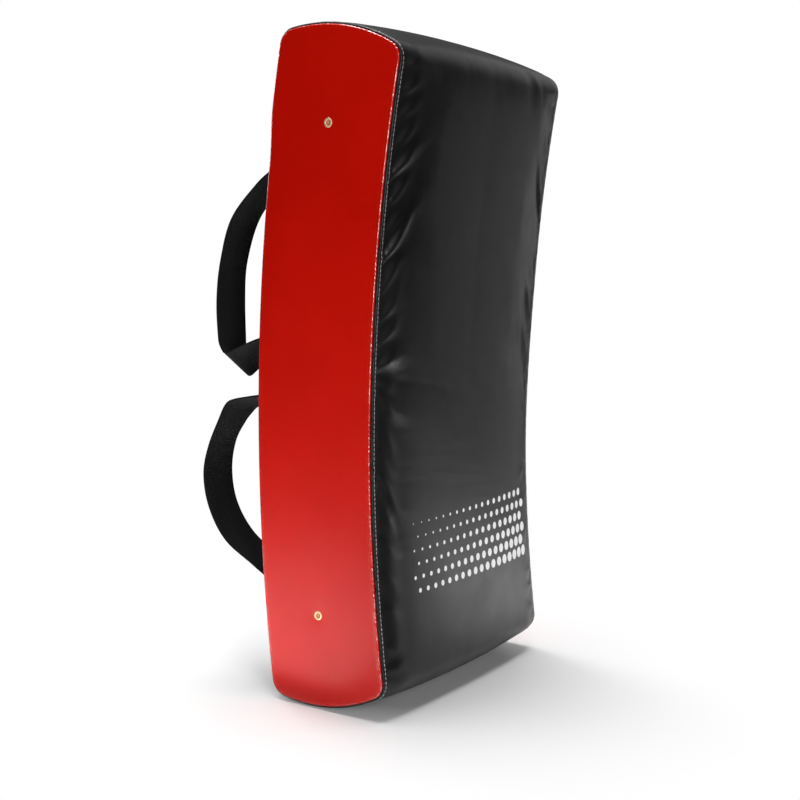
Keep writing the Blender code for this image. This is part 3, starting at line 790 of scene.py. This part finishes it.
SIDE_CORNER = 5 * MM
SIDE_ARC = 5
SIDE_END = 30
SIDE_LONG = 180
SIDE_REFINE = 3
SIDE_ROLL = np.radians((148, 128, 108, 90, 72, 54, 36, 18, 0))
SIDE_STEPS = (0.9 * MM, 2.0 * MM)
SIDE_COARSE = np.linspace(SIDE_REACH - 4.2 * MM, SIDE_CORNER, 3)


def side_stations():
    """Stations round a side, from the middle of the upper rear corner over the top and down the front."""
    corner = end_station(CORNER_DEPTH)[1]
    half = corner / 2
    arc = lambda a, b: np.linspace(a, b, SIDE_ARC + 1)[:-1]
    depths = np.linspace(CORNER_DEPTH, -CORNER_DEPTH, SIDE_END + 1)[:-1]
    face = np.linspace(CORNER_ALONG, -CORNER_ALONG, SIDE_LONG + 1)[:-1]
    top = [(CORNER_DEPTH, CORNER_ALONG, a) for a in arc(half, corner)]
    top += [(depth, *end_station(depth)) for depth in depths]
    top += [(-CORNER_DEPTH, CORNER_ALONG, a) for a in arc(math.pi - corner, math.pi - half)]
    front = [(-CORNER_DEPTH, CORNER_ALONG, a) for a in arc(math.pi - half, math.pi)]
    front += [(-CORNER_DEPTH, along, math.pi) for along in face]
    front += [(-CORNER_DEPTH, -CORNER_ALONG, a) for a in arc(math.pi, math.pi + half)]
    turned = [(-depth, -along, angle + math.pi) for depth, along, angle in top + front]
    return np.array(top + front + turned), len(top), len(front)


def refine(stations, times):
    """Stations of a closed loop with extra ones between."""
    closed = np.concatenate([stations, stations[:1]])
    closed[:, 2] = np.unwrap(np.append(stations[:, 2], stations[0, 2] + TAU))
    places = np.arange(len(stations) * times) / times
    return np.stack([np.interp(places, np.arange(len(closed)), column) for column in closed.T], axis=-1)


def side_dome(depth, along):
    """How far the red side bulges over its edge level, with shallow dents and pulls at the eyelets."""
    across = np.maximum(0.0, 1 - (depth / (CORNER_DEPTH + SIDE_REACH)) ** 2)
    down = np.maximum(0.0, 1 - np.abs(along / (CORNER_ALONG + END_BULGE + SIDE_REACH)) ** 9)
    dents = (0.22 * np.sin(along * 31 + 0.6) * np.cos(depth * 40 + 0.5) + 0.16 * np.sin(along * 73 + 2.0 + depth * 25)
             + 0.10 * np.sin(along * 131 + 1.1) * np.sin(depth * 90))
    dome = (SIDE_DOME + 0.35 * MM * dents) * across ** 0.8 * down
    for centre in (EYELET_ALONG, -EYELET_ALONG):
        dome = dome - 0.9 * MM * hump(np.hypot(depth, along - centre), 0.0105)
    return dome


def side_ring(side, stations, reach, level):
    """A loop of the red side, at a reach from its stations and a level across the pad."""
    out = reach - (PROUD - proud(stations[:, 2])) * np.clip(reach / SIDE_REACH, 0, 1) ** 2
    depth, along = reach_out(stations, out)
    flat = bend(0.0, depth, along)
    flat[:, 0] = side * (level + side_dome(depth, along) * np.clip((SIDE_REACH - reach) / (6 * MM), 0, 1))
    return flat


def side_edge(side, fine):
    """Fine loops of the edge: the roll, pinched at each stitch, and the first of the panel."""
    run = distances(*reach_out(fine, SIDE_REACH))
    beat = np.sin(TAU * run / (run[-1] / round(run[-1] / STITCH_PITCH)))
    slow = 0.5 + 0.5 * np.sin(TAU * run / 0.083 + side)
    rings = []
    for turn in SIDE_ROLL:
        swing = max(0.0, math.sin(turn * 1.15)) * 0.36 * MM * beat * (0.6 + 0.6 * slow)
        reach = SIDE_REACH + (ROLL + swing) * math.sin(turn)
        rings.append(side_ring(side, fine, reach, SIDE_LEVEL - ROLL + (ROLL + swing) * math.cos(turn)))
    for step in SIDE_STEPS:
        swing = 0.10 * MM * beat * math.exp(-step / (1.5 * MM))
        level = SIDE_LEVEL + swing - 0.12 * MM * (1 - step / (2.6 * MM))
        rings.append(side_ring(side, fine, SIDE_REACH - step, level))
    return rings


def side_middle(side, stations, n_u, n_v):
    """The panel's inner grid, spanned between the four sides of its innermost loop."""
    count = len(stations)
    inset = SIDE_CORNER - (PROUD - proud(stations[:, 2])) * (SIDE_CORNER / SIDE_REACH) ** 2
    loop = np.stack(reach_out(stations, inset), axis=-1)
    top, front = loop[:n_u + 1], loop[n_u:n_u + n_v + 1]
    bottom = loop[2 * n_u + n_v - np.arange(n_u + 1)]
    back = loop[(count - np.arange(n_v + 1)) % count]
    u = np.linspace(0, 1, n_u + 1)[None, 1:-1, None]
    v = np.linspace(0, 1, n_v + 1)[1:-1, None, None]
    inner = ((1 - v) * top[None, 1:-1] + v * bottom[None, 1:-1] + (1 - u) * back[1:-1, None] + u * front[1:-1, None]
             - ((1 - u) * (1 - v) * top[0] + u * (1 - v) * top[-1] + (1 - u) * v * bottom[0] + u * v * bottom[-1]))
    flat = bend(0.0, inner[..., 0], inner[..., 1])
    flat[..., 0] = side * (SIDE_LEVEL + side_dome(inner[..., 0], inner[..., 1]))
    return flat.reshape(-1, 3)


def build_side(word, side):
    """A red side: a domed panel whose edge rolls into the seam."""
    stations, n_u, n_v = side_stations()
    fine = refine(stations, SIDE_REFINE)
    edge = side_edge(side, fine)
    coarse = [side_ring(side, stations, reach, SIDE_LEVEL) for reach in SIDE_COARSE]
    middle = side_middle(side, stations, n_u, n_v)
    wide, count = len(fine), len(stations)
    faces = grid_faces(len(edge), wide, True).tolist()
    last_fine = (len(edge) - 1) * wide
    first = len(edge) * wide
    for k in range(count):
        f = [last_fine + (SIDE_REFINE * k + j) % wide for j in range(4)]
        here, after = first + k, first + (k + 1) % count
        faces += [[f[0], f[1], here], [f[1], f[2], after, here], [f[2], f[3], after]]
    faces += (grid_faces(len(coarse), count, True) + first).tolist()
    boundary = first + (len(coarse) - 1) * count
    index = np.zeros((n_v + 1, n_u + 1), int)
    index[0, :] = boundary + np.arange(n_u + 1)
    index[:, -1] = boundary + n_u + np.arange(n_v + 1)
    index[-1, :] = boundary + 2 * n_u + n_v - np.arange(n_u + 1)
    index[:, 0] = boundary + (count - np.arange(n_v + 1)) % count
    index[1:-1, 1:-1] = boundary + count + np.arange((n_v - 1) * (n_u - 1)).reshape(n_v - 1, n_u - 1)
    quads = np.stack([index[:-1, :-1], index[:-1, 1:], index[1:, 1:], index[1:, :-1]], axis=-1)
    faces += quads.reshape(-1, 4).tolist()
    points = uneven(np.concatenate([*edge, *coarse, middle]))
    points[:, 2] = np.maximum(points[:, 2], 0.0)
    fade = np.exp(-np.maximum(0, np.arange(len(edge)) - 6) / 2.0)
    rim = np.concatenate([np.repeat(fade, wide), np.zeros(len(points) - first)])
    if side < 0:
        faces = [f[::-1] for f in faces]
    cover(f"side_cover_{word}", points, faces, RED_LOOK, rim, f"side_panel_{word}")


# ---------------------------------------------------------------- back

# Sewn places of a column of webbing: lower and upper end, and the box stitched in it
SEWN_PLACES = ((0.222, 0.262), (-0.028, 0.028), (-0.285, -0.245))
SEWN_BOXES = ((0.2385, 0.2545), (-0.019, 0.019), (-0.2775, -0.2615))
# The hollows round them: middle and reach along the pad
SEWN_HOLLOWS = ((0.242, 0.020), (0.0, 0.028), (-0.265, 0.020))
HEM_STEPS = np.array([0.0, 0.25, 0.7, 1.5, 2.4, 3.4, 5.0]) * MM
HEM_STITCH_COLUMN = 5
HEM_ROLL = 1.2 * MM
BACK_ROWS, BACK_COLUMNS = 175, 42
BACK_END_ROWS = BACK_SEAM_ALONG - np.array([0.25, 0.6, 1.1]) * MM
BACK_OUTER = ROLL_X - np.arange(5, -1, -1) * 1.1 * MM


def sewn_zone(x, along):
    """1 under the sewn webbing, 0 away from it."""
    near = np.zeros(np.broadcast(x, along).shape)
    for side in (-1, 1):
        for low, high in SEWN_PLACES:
            across = np.clip(1.35 - np.abs(x - side * COLUMN_X) / WEBBING_HALF, 0, 0.35) / 0.35
            down = np.clip(np.minimum(along - low, high - along) / 0.012 + 1, 0, 1)
            near = np.maximum(near, across * down)
    return near


def sewn_pulls(x, along, side):
    """The hollow round each sewn end of webbing, with the short folds that run out from it."""
    lift = np.zeros(x.shape)
    for number, (middle, reach) in enumerate(SEWN_HOLLOWS):
        across, down = x - COLUMN_X, along - middle
        out = np.hypot(np.maximum(0, np.abs(across) - 0.020), np.maximum(0, np.abs(down) - reach))
        turn = np.arctan2(down, across)
        rays = np.sin(7 * turn + 1.3 * number + side) + 0.6 * np.sin(12 * turn + 2.1 * number)
        lift += -1.5 * MM * hump(out, 0.016) + 0.55 * MM * rays * hump(out - 0.013, 0.012)
    return lift


def back_lift(x, along, from_hem, side):
    """How far half of the back stands off the pad's shape: padding, pulls, the folded hem and the seams."""
    fold = np.where(from_hem < HEM_ROLL,
                    HEM_ROLL * (np.sqrt(np.maximum(0, 1 - (1 - from_hem / HEM_ROLL) ** 2)) - 1), 0)
    fold = fold - 0.35 * MM * hump(from_hem - 3.2 * MM, 1.0 * MM) + 0.35 * MM * hump(from_hem, 4 * MM)
    away = np.maximum(np.minimum(ROLL_X - x, from_hem), 0)
    waves = 0.35 * MM * (np.sin(along * 57 + 9 * x + 0.4 + side) * np.sin(x * 61 + 0.3)
                         + 0.6 * np.sin(along * 139 + 31 * x + 2 * side) * np.exp(-away / 0.03))
    soft = 2.2 * MM * (1 - hump(away, 0.024)) + waves + sewn_pulls(x, along, side)
    soft = soft + 0.9 * MM * gathers(np.maximum(0.0, ROLL_X - x), along + 0.33, 41 + side, 0.3)
    zone = sewn_zone(side * x, along)
    from_end = BACK_SEAM_ALONG - np.abs(along)
    lift = (soft * (1 - zone) - 0.25 * MM * zone) * np.clip(from_end / 0.008, 0, 1)
    return lift + fold + seam_groove(ROLL_X - x) + cross_drop(from_end)


def build_back(word, side):
    """Half of the back: foam-filled vinyl with a folded hem along the zip. Gives its lines of topstitching."""
    even = np.linspace(-BACK_SEAM_ALONG, BACK_SEAM_ALONG, BACK_ROWS)
    along = np.unique(np.round(np.concatenate([even, BACK_END_ROWS, -BACK_END_ROWS]), 6))[:, None]
    notch_end = [ZIP_NOTCH_ALONG, ZIP_NOTCH_ALONG + 0.004]
    hem = np.where(np.abs(along) < ZIP_NOTCH_ALONG, ZIP_NOTCH_HALF,
                   np.interp(np.abs(along), notch_end, [ZIP_NOTCH_HALF, 0.0002]))
    start = hem + HEM_STEPS[-1]
    middle = start + (BACK_OUTER[0] - start) * np.linspace(0, 1, BACK_COLUMNS)[1:-1]
    x = np.concatenate([hem + HEM_STEPS, middle, BACK_OUTER + 0 * hem], axis=1)
    inner = bend(side * x, BACK_DEPTH + back_lift(x, along + 0 * x, x - hem, side), along)
    dip = ROLL * (np.cos(ROLL_TURNS) - 1) + cross_drop(BACK_SEAM_ALONG - np.abs(along))
    roll = bend(side * (ROLL_X + ROLL * np.sin(ROLL_TURNS)), BACK_DEPTH + dip, along)
    points = uneven(np.concatenate([inner, roll], axis=1))
    faces = grid_faces(*points.shape[:2])
    columns = np.concatenate([x[0], np.full(ROLL_STEPS, ROLL_X)])
    rim = np.maximum(np.exp(-np.maximum(0, ROLL_X - columns) / RIM), np.exp(-(columns - x[0, 0]) / HEM_ROLL))
    cover(f"back_cover_{word}", points, faces if side < 0 else faces[:, ::-1], BACK_LOOK,
          np.repeat(rim[None, :], len(along), 0), f"back_panel_{word}")
    outward = surface_normals(points)
    outward *= np.sign(outward[..., 1:2])
    seam_column = int(np.argmin(np.abs(columns - (ROLL_X - TOPSTITCH_IN))))
    return [(points[4:-4, k], outward[4:-4, k], {}) for k in (HEM_STITCH_COLUMN, seam_column)]


# ---------------------------------------------------------------- webbing handles

# The webbing's centre line, as in the CAD source: distance along the pad, height over its back, slant in degrees
TOP_END = ((0.258, SEWN_HEIGHT, 0), (0.236, SEWN_HEIGHT, 0), (0.221, 0.0025, 0))
UPPER_LOOP = ((0.208, SWAY_HEIGHT, 0), (0.188, 0.037, 0), (0.150, 0.068, 0), (0.106, 0.081, 0),
              (0.060, 0.083, 0), (0.024, 0.080, 6), (0.004, 0.077, 26), (-0.004, 0.071, 33),
              (0.003, 0.058, 26), (0.022, 0.028, 8), (0.030, SWAY_HEIGHT, 0))
MIDDLE = ((0.030, 0.004, 0), (0.022, SEWN_HEIGHT, 0), (0.0, SEWN_HEIGHT, 0), (-0.022, SEWN_HEIGHT, 0),
          (-0.029, 0.004, 0))
LOWER_LOOP = ((-0.031, SWAY_HEIGHT, 0), (-0.036, 0.034, 3), (-0.045, 0.060, 12), (-0.052, 0.070, 15),
              (-0.064, 0.079, 8), (-0.090, 0.094, 0), (-0.122, 0.102, 0), (-0.156, 0.096, 0),
              (-0.190, 0.073, 0), (-0.215, 0.036, 0), (-0.231, SWAY_HEIGHT, 0))
BOTTOM_END = ((-0.244, 0.0025, 0), (-0.259, SEWN_HEIGHT, 0), (-0.281, SEWN_HEIGHT, 0))
SECTIONS = (TOP_END, UPPER_LOOP, MIDDLE, LOWER_LOOP, BOTTOM_END)
ROUTE_STEPS = 12
STRAP_PITCH = 2.4 * MM


def webbing_route():
    """Samples of (distance down the webbing, place along the pad, height, slant) on a curve through the points."""
    points = np.array([point for section in SECTIONS for point in section])
    samples = []
    for i, (start, end) in enumerate(zip(points, points[1:])):
        before = points[max(i - 1, 0)]
        after = points[min(i + 2, len(points) - 1)]
        for t in np.linspace(0, 1, ROUTE_STEPS, endpoint=False):
            bow = (2 * start + (end - before) * t + (2 * before - 5 * start + 4 * end - after) * t ** 2
                   + (3 * start - before - 3 * end + after) * t ** 3) / 2
            bow[1] = max(bow[1], SEWN_HEIGHT)
            samples.append(bow)
    samples = np.array(samples + [points[-1]])
    return np.column_stack([distances(samples[:, 0], samples[:, 1]), samples])


ROUTE = webbing_route()


def run_at(section_index, point_index):
    """Distance down the webbing of a listed point."""
    before = sum(len(section) for section in SECTIONS[:section_index])
    return ROUTE[(before + point_index) * ROUTE_STEPS, 0]


def webbing_profile():
    """The cross-section: (place across, height over the middle) round the strip, with corded selvedges."""
    half = WEBBING_HALF / MM
    left = [(-half - 0.15, 0.0), (-half + 0.1, 0.75), (-half + 0.9, 1.12), (-half + 1.8, 1.0), (-half + 2.4, 0.86)]
    middle = [(k, 0.95) for k in np.linspace(-half + 3.4, half - 3.4, 11)]
    upper = left + middle + [(-k, h) for k, h in reversed(left)]
    return np.array(upper + [(k, -h) for k, h in reversed(upper[1:-1])]) * MM


def strap(name, side, low, high, seed):
    """A length of the webbing between two distances down it, as a closed ribbed strip."""
    phase = np.random.default_rng(seed).uniform(0, 6.28, 4)
    run = np.linspace(low, high, max(3, round((high - low) / STRAP_PITCH)) + 1)[:, None]
    along, height, slant = (np.interp(run, ROUTE[:, 0], ROUTE[:, k]) for k in (1, 2, 3))
    slant[1:-1, 0] = np.convolve(slant[:, 0], np.ones(3) / 3, "valid")
    x, thickness = webbing_profile().T
    free = np.clip((height - SEWN_HEIGHT) / 0.02, 0, 1)
    tilt = np.radians(slant)

    def surface(across):
        share = across / WEBBING_HALF
        ripple = 0.45 * MM * np.sin(run * 75 + phase[0] + 0.9 * np.sign(across)) * share ** 2
        twist = 0.8 * MM * np.sin(run * 17 + phase[1]) * share
        raised = height + free * (ripple + twist - 0.7 * MM * share ** 2)
        sideways = side * across * np.sin(tilt)
        return bend(side * COLUMN_X + across * np.cos(tilt), BACK_DEPTH + raised, along + sideways)

    centre = surface(x[None, :])
    nudge = 0.5 * MM
    across = surface(x[None, :] + nudge) - surface(x[None, :] - nudge)
    normal = unit(np.cross(across, np.gradient(centre, axis=0)))
    points = centre + normal * thickness[None, :, None]
    rows, columns = points.shape[:2]
    faces = grid_faces(rows, columns, True).tolist() + tube_ends(0, rows, columns)
    made = new_mesh(name, points, faces, WEBBING_LOOK)
    weave = np.stack(np.broadcast_arrays(x[None, :], run), axis=-1).astype(np.float32).reshape(-1, 2)
    corner = np.zeros(len(made.data.loops), np.int64)
    made.data.loops.foreach_get("vertex_index", corner)
    made.data.uv_layers.new(name="weave").data.foreach_set("uv", weave[corner].ravel())
    return made


def box_stitch(side, low, high):
    """Lines of a sewn box with a cross in it, on top of the webbing."""
    half = WEBBING_HALF - 3.5 * MM
    corners = [(-half, low), (half, low), (half, high), (-half, high), (-half, low), (half, high)]
    legs = list(zip(corners, corners[1:])) + [((-half, high), (half, low))]
    lines = []
    for (x0, a0), (x1, a1) in legs:
        t = np.linspace(0, 1, 24)
        over = lambda height: bend(side * COLUMN_X + x0 + (x1 - x0) * t, BACK_DEPTH + height, a0 + (a1 - a0) * t)
        places = over(SEWN_HEIGHT + WEBBING / 2 + 0.05 * MM)
        lines.append((places, unit(over(0.01) - places), {"pitch": 3.0 * MM, "radius": 0.30 * MM, "share": 0.74}))
    return lines


def sway_frame(side, section):
    """The sway axis's middle and its outward direction, for a loop."""
    ends = (section[0], section[-1])
    first, last = (bend(side * COLUMN_X, BACK_DEPTH + height, along) for along, height, _ in ends)
    axis = unit(first - last)
    return (first + last) / 2, np.array([0.0, axis[2], -axis[1]])


def build_handles(word, side):
    """One column: sewn top, upper loop, sewn middle, lower loop and sewn bottom."""
    top_end = run_at(0, 1) + 0.002
    upper_end, lower_start, lower_end = run_at(2, 1), run_at(2, 3), run_at(4, 1)
    for part, low, high, seed in (("top_end", 0.0, top_end, 1), ("middle", upper_end, lower_start, 2),
                                  ("bottom_end", lower_end, ROUTE[-1, 0], 3)):
        made = strap(f"webbing_{part}_{word}", side, low, high, seed)
        fit(made, "pad", f"handle_{part}_{word}")
    for level, low, high, section, seed in (("upper", top_end, upper_end, UPPER_LOOP, 5),
                                            ("lower", lower_start, lower_end, LOWER_LOOP, 7)):
        made = strap(f"webbing_{level}_loop_{word}", side, low, high, seed + (side > 0))
        fit(made, None, f"handle_{level}_loop_{word}")
        middle, outward = sway_frame(side, section)
        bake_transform(made)
    lines = [line for low, high in SEWN_BOXES for line in box_stitch(side, low, high)]
    fit(stitch_object(f"handle_stitching_{word}", lines, DARK_THREAD, 501 + side), "pad", None)


# ---------------------------------------------------------------- eyelets and zip

# Closed outlines of turned parts: radius and height in millimetres
EYELET_OUTLINE = ((5.80, -0.25), (5.84, 0.15), (5.70, 0.55), (5.30, 0.86), (4.75, 0.98), (4.10, 0.96), (3.50, 0.78),
                  (3.05, 0.46), (2.80, 0.05), (2.70, -0.60), (2.70, -2.60), (3.30, -2.60), (3.30, -0.25))
EYELET_SCALE = 0.86
LINING_OUTLINE = ((0.02, 0.05), (1.3, 0.0), (2.2, -0.12), (2.34, -0.4), (1.3, -0.5), (0.02, -0.5))
LATHE_STEPS = 56


def lathe(name, outline, widen, centre, side, look):
    """A ring turned from its outline, facing out of a side of the pad at centre."""
    turns = np.arange(LATHE_STEPS) * TAU / LATHE_STEPS
    radius, height = np.array(outline).T * MM * np.array([[widen], [1]])
    points = np.stack([np.outer(np.cos(turns), radius), np.outer(np.sin(turns), radius),
                       np.repeat(height[None, :], LATHE_STEPS, 0)], axis=-1)
    faces = grid_faces(LATHE_STEPS + 1, len(outline), True) % (LATHE_STEPS * len(outline))
    turn = np.array(Matrix.Rotation(side * math.pi / 2, 3, "Y"))
    return new_mesh(name, points.reshape(-1, 3) @ turn.T + centre, faces[:, ::-1], look)


def build_eyelets(word, side):
    """Rolled brass eyelets, each with the lining that shows through it."""
    for level, along in (("upper", EYELET_ALONG), ("lower", -EYELET_ALONG)):
        centre = bend(0.0, 0.0, along)
        centre[0] = side * (SIDE_LEVEL + float(side_dome(np.array(0.0), np.array(along))) + 0.05 * MM)
        ring = lathe(f"eyelet_ring_{level}_{word}", EYELET_OUTLINE, EYELET_SCALE, centre, side, BRASS_LOOK)
        fit(ring, "pad", f"eyelet_{level}_{word}")
        lining = lathe(f"eyelet_lining_{level}_{word}", LINING_OUTLINE, 1, centre, side, VENT_LOOK)
        fit(lining, "pad", None)


# Spans across and over the back of the zip's strips, and how far they reach along it
TAPE = ((0.15 * MM, 13.8 * MM), (-2.45 * MM, -1.85 * MM), 0.2865)
COIL_EDGE = ((1.9 * MM, 3.0 * MM), (-1.5 * MM, -0.35 * MM), ZIP_ALONG)
STRIP_COLUMNS = 6


def zip_strip(name, side, x_span, depth_span, reach, look, node, rows):
    """A thin strip beside the back's middle with rounded edges."""
    (x_low, x_high), (low, high) = sorted(side * x for x in x_span), depth_span
    brim = (high - low) / 2 * 0.4
    across = np.linspace(x_low, x_high, STRIP_COLUMNS)
    across[0] += 0.1 * MM
    across[-1] -= 0.1 * MM
    loop = [(x_low, (low + high) / 2 + brim)] + [(x, high) for x in across] + [(x_high, (low + high) / 2 + brim)]
    loop += [(x_high, low + brim)] + [(x, low) for x in across[::-1]] + [(x_low, low + brim)]
    x, depth = np.array(loop).T
    points = bend(x, BACK_DEPTH + depth, np.linspace(-reach, reach, rows)[:, None])
    faces = grid_faces(rows, len(loop), True).tolist() + tube_ends(0, rows, len(loop))
    fit(new_mesh(name, points, [face[::-1] for face in faces], look), "pad", node)


TOOTH_PITCH = 1.27 * MM
TOOTH_RING = np.array([(math.cos(a), math.sin(a)) for a in np.arange(8) * math.pi / 4])
TOOTH_SHARES = np.array([-0.25, 0.0, 0.30, 0.62, 0.88, 1.0])[:, None]
TOOTH_THICK = np.array([0.30, 0.50, 0.56, 0.56, 0.50, 0.28])[:, None] * MM


def zip_tooth(along, side):
    """One coil of the chain, as a bowed tube across it. Gives its points and faces."""
    rings, sides = len(TOOTH_SHARES), len(TOOTH_RING)
    depth = BACK_DEPTH + (-0.55 + 0.45 * np.sin(np.clip(TOOTH_SHARES, 0, 1) * math.pi)) * MM
    points = bend(side * TOOTH_SHARES * 2.6 * MM, depth + TOOTH_THICK * TOOTH_RING[:, 0],
                  along + 0.18 * MM * side * TOOTH_SHARES + 1.05 * TOOTH_THICK * TOOTH_RING[:, 1])
    faces = grid_faces(rings, sides, True).tolist() + tube_ends(0, rings, sides)
    return points.reshape(-1, 3), faces if side > 0 else [face[::-1] for face in faces]


def build_zip():
    """Tapes, coils, stops, slider and pull."""
    for word, side in SIDES:
        zip_strip(f"zip_tape_woven_{word}", side, *TAPE, NYLON_LOOK, f"zip_tape_{word}", 90)
    points, faces = [], []
    for number in range(int(2 * ZIP_ALONG / TOOTH_PITCH)):
        tooth, quads = zip_tooth(-ZIP_ALONG + (number + 0.5) * TOOTH_PITCH, -1 if number % 2 else 1)
        faces += [[number * len(tooth) + k for k in face] for face in quads]
        points.append(tooth)
    fit(new_mesh("zip_coil", np.concatenate(points), faces, COIL_LOOK), "pad", "zip_chain")
    for word, side in SIDES:
        zip_strip(f"zip_coil_edge_{word}", side, *COIL_EDGE, COIL_LOOK, None, 120)
    for node in ("zip_bottom_stop", "zip_top_stop", "zip_slider", "zip_pull"):
        smoothed_copy(node, frame["nodes"][node])


def smoothed_copy(node, source):
    """A metal part from its CAD solid, with its flat faces merged and its edges rounded."""
    made = add_object(node + "_finished", source.data.copy())
    made.data.materials.clear()
    made.data.materials.append(STEEL_LOOK)
    made.modifiers.new("weld", "WELD").merge_threshold = 0.01 * MM
    set_all(made.modifiers.new("flat", "DECIMATE"), decimate_type="DISSOLVE", angle_limit=math.radians(4))
    set_all(made.modifiers.new("round", "BEVEL"), width=0.28 * MM, segments=3, limit_method="ANGLE",
            angle_limit=math.radians(28), use_clamp_overlap=True)
    fit(made, source.get("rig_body"), node)


def dress_hidden_nodes():
    """Procedural looks for the CAD nodes that stay: foam, reinforcements and washers."""
    looks = {"foam_strike_layer": DARK_FOAM, "foam_core": LIGHT_FOAM, "foam_back_layer": DARK_FOAM}
    for word, _ in SIDES:
        looks[f"back_reinforcement_{word}"] = LINING_LOOK
        for level in ("upper", "lower"):
            looks[f"eyelet_washer_{level}_{word}"] = BRASS_LOOK
    for node, look in looks.items():
        for slot in frame["nodes"][node].material_slots:
            set_all(slot, link="OBJECT", material=look)


# ---------------------------------------------------------------- studio

CAMERA_PLACE = Vector((-1.34002, -0.84367, 0.50163))
CAMERA_YAW, CAMERA_PITCH, CAMERA_ROLL = (math.radians(a) for a in (57.807, -6.631, 1.533))
CAMERA_LENS = 61.96
SURROUND = 0.012
FLOOR_HALF = 14.0
PAD_MIDDLE = (0, 0, 0.36)
# Name, place, target, width, height and power
LAMPS = (("key", (-1.7, -1.9, 0.6), PAD_MIDDLE, 0.6, 1.5, 46), ("side", (2.6, -0.75, 0.35), PAD_MIDDLE, 0.5, 1.0, 3.0),
         ("top", (0.0, 0.2, 2.6), PAD_MIDDLE, 1.8, 1.8, 85), ("rear", (0.8, 2.6, 1.5), PAD_MIDDLE, 1.4, 2.0, 52),
         ("edge", (2.2, -0.2, 1.7), (0, 0, 0.7), 1.6, 1.4, 4.4),
         ("card_right", (0.54, -0.44, 0.015), (0.54, -0.44, 1.0), 0.42, 0.42, 2.2),
         ("card_left", (-0.42, 0.19, 0.015), (-0.42, 0.19, 1.0), 0.42, 0.42, 1.35))


def build_camera():
    """The photograph's view."""
    forward = Vector((math.cos(CAMERA_PITCH) * math.sin(CAMERA_YAW), math.cos(CAMERA_PITCH) * math.cos(CAMERA_YAW),
                      math.sin(CAMERA_PITCH)))
    level = Vector((math.cos(CAMERA_YAW), -math.sin(CAMERA_YAW), 0))
    over = level.cross(forward)
    right = level * math.cos(CAMERA_ROLL) + over * math.sin(CAMERA_ROLL)
    up = over * math.cos(CAMERA_ROLL) - level * math.sin(CAMERA_ROLL)
    camera = add_object("camera", bpy.data.cameras.new("camera"))
    set_all(camera.data, lens=CAMERA_LENS, sensor_width=36.0)
    camera.matrix_world = Matrix((right, up, -forward)).transposed().to_4x4()
    camera.location = CAMERA_PLACE
    bpy.context.scene.camera = camera


def softbox(name, place, target, width, height, power):
    """A rectangular lamp, hidden from the camera."""
    lamp = add_object(name, bpy.data.lights.new(name, "AREA"))
    set_all(lamp.data, shape="RECTANGLE", size=width, size_y=height, energy=power)
    lamp.location = place
    lamp.rotation_euler = (Vector(target) - Vector(place)).to_track_quat("-Z", "Y").to_euler()
    lamp.visible_camera = False


def mix_shaders(tree, factor, a, b):
    made = tree.nodes.new("ShaderNodeMixShader")
    for socket, source in zip(made.inputs, (factor, a, b)):
        tree.links.new(source, socket)
    return made.outputs[0]


def camera_only(tree, seen, lit):
    """A shader that the camera sees as one thing and that lights the object as another."""
    return mix_shaders(tree, tree.nodes.new("ShaderNodeLightPath").outputs["Is Camera Ray"], lit, seen)


def build_floor():
    """A pale floor that fades to white away from the pad. It is darker in reflections, in front and far off."""
    corners = [(x * FLOOR_HALF, y * FLOOR_HALF, 0) for x, y in ((-1, -1), (1, -1), (1, 1), (-1, 1))]
    floor = new_mesh("floor", corners, [[0, 1, 2, 3]], smooth=False)
    look = Look("floor_paint", Roughness=0.45, Specular_IOR_Level=0.3)
    floor.data.materials.append(look.finish(Base_Color=look.mix(look.noise(1.3, 2.0), (0.86,) * 3, (0.90,) * 3)))
    paint = look.shader.outputs[0]
    glow = look.node("Emission", {"Color": (1, 1, 1, 1), "Strength": 1.0}).socket
    dark = look.node("BsdfDiffuse", {"Color": (0.03, 0.03, 0.03, 1)}).socket
    away = look.node("VectorMath", {0: look.place}, "Value", operation="LENGTH")
    x, y, _ = look.axes()
    front = y.levels(-0.20, -0.45) * (x + y * 0.55).levels(0.12, -0.16)
    far = away.levels(0.6, 1.3) * 0.78
    seen = mix_shaders(look.tree, away.levels(0.14, 0.46).socket, paint, glow)
    lit = mix_shaders(look.tree, look.math("MAXIMUM", front, far).socket, paint, dark)
    surface = look.tree.nodes["Material Output"].inputs["Surface"]
    look.tree.links.new(camera_only(look.tree, seen, lit), surface)


def build_world():
    """White to the eye, and a dimmer even light on the pad."""
    world = bpy.data.worlds.new("surround")
    bpy.context.scene.world = world
    world.use_nodes = True
    tree = world.node_tree
    lit, seen = tree.nodes["Background"], tree.nodes.new("ShaderNodeBackground")
    for background, strength in ((lit, SURROUND), (seen, 1.0)):
        background.inputs["Color"].default_value = (1, 1, 1, 1)
        background.inputs["Strength"].default_value = strength
    tree.links.new(camera_only(tree, seen.outputs[0], lit.outputs[0]), tree.nodes["World Output"].inputs["Surface"])


def build_studio():
    build_floor()
    build_world()
    for lamp in LAMPS:
        softbox(*lamp)
    set_all(bpy.context.scene.view_settings, view_transform="Standard", look="None")


build_camera()
build_studio()
dress_hidden_nodes()
wrap_topstitch(*build_wrap())
back_lines = []
for word, side in SIDES:
    build_side(word, side)
    back_lines += build_back(word, side)
    build_handles(word, side)
    build_eyelets(word, side)
fit(stitch_object("back_topstitch", back_lines, PALE_THREAD, 401), "pad", None)
build_zip()
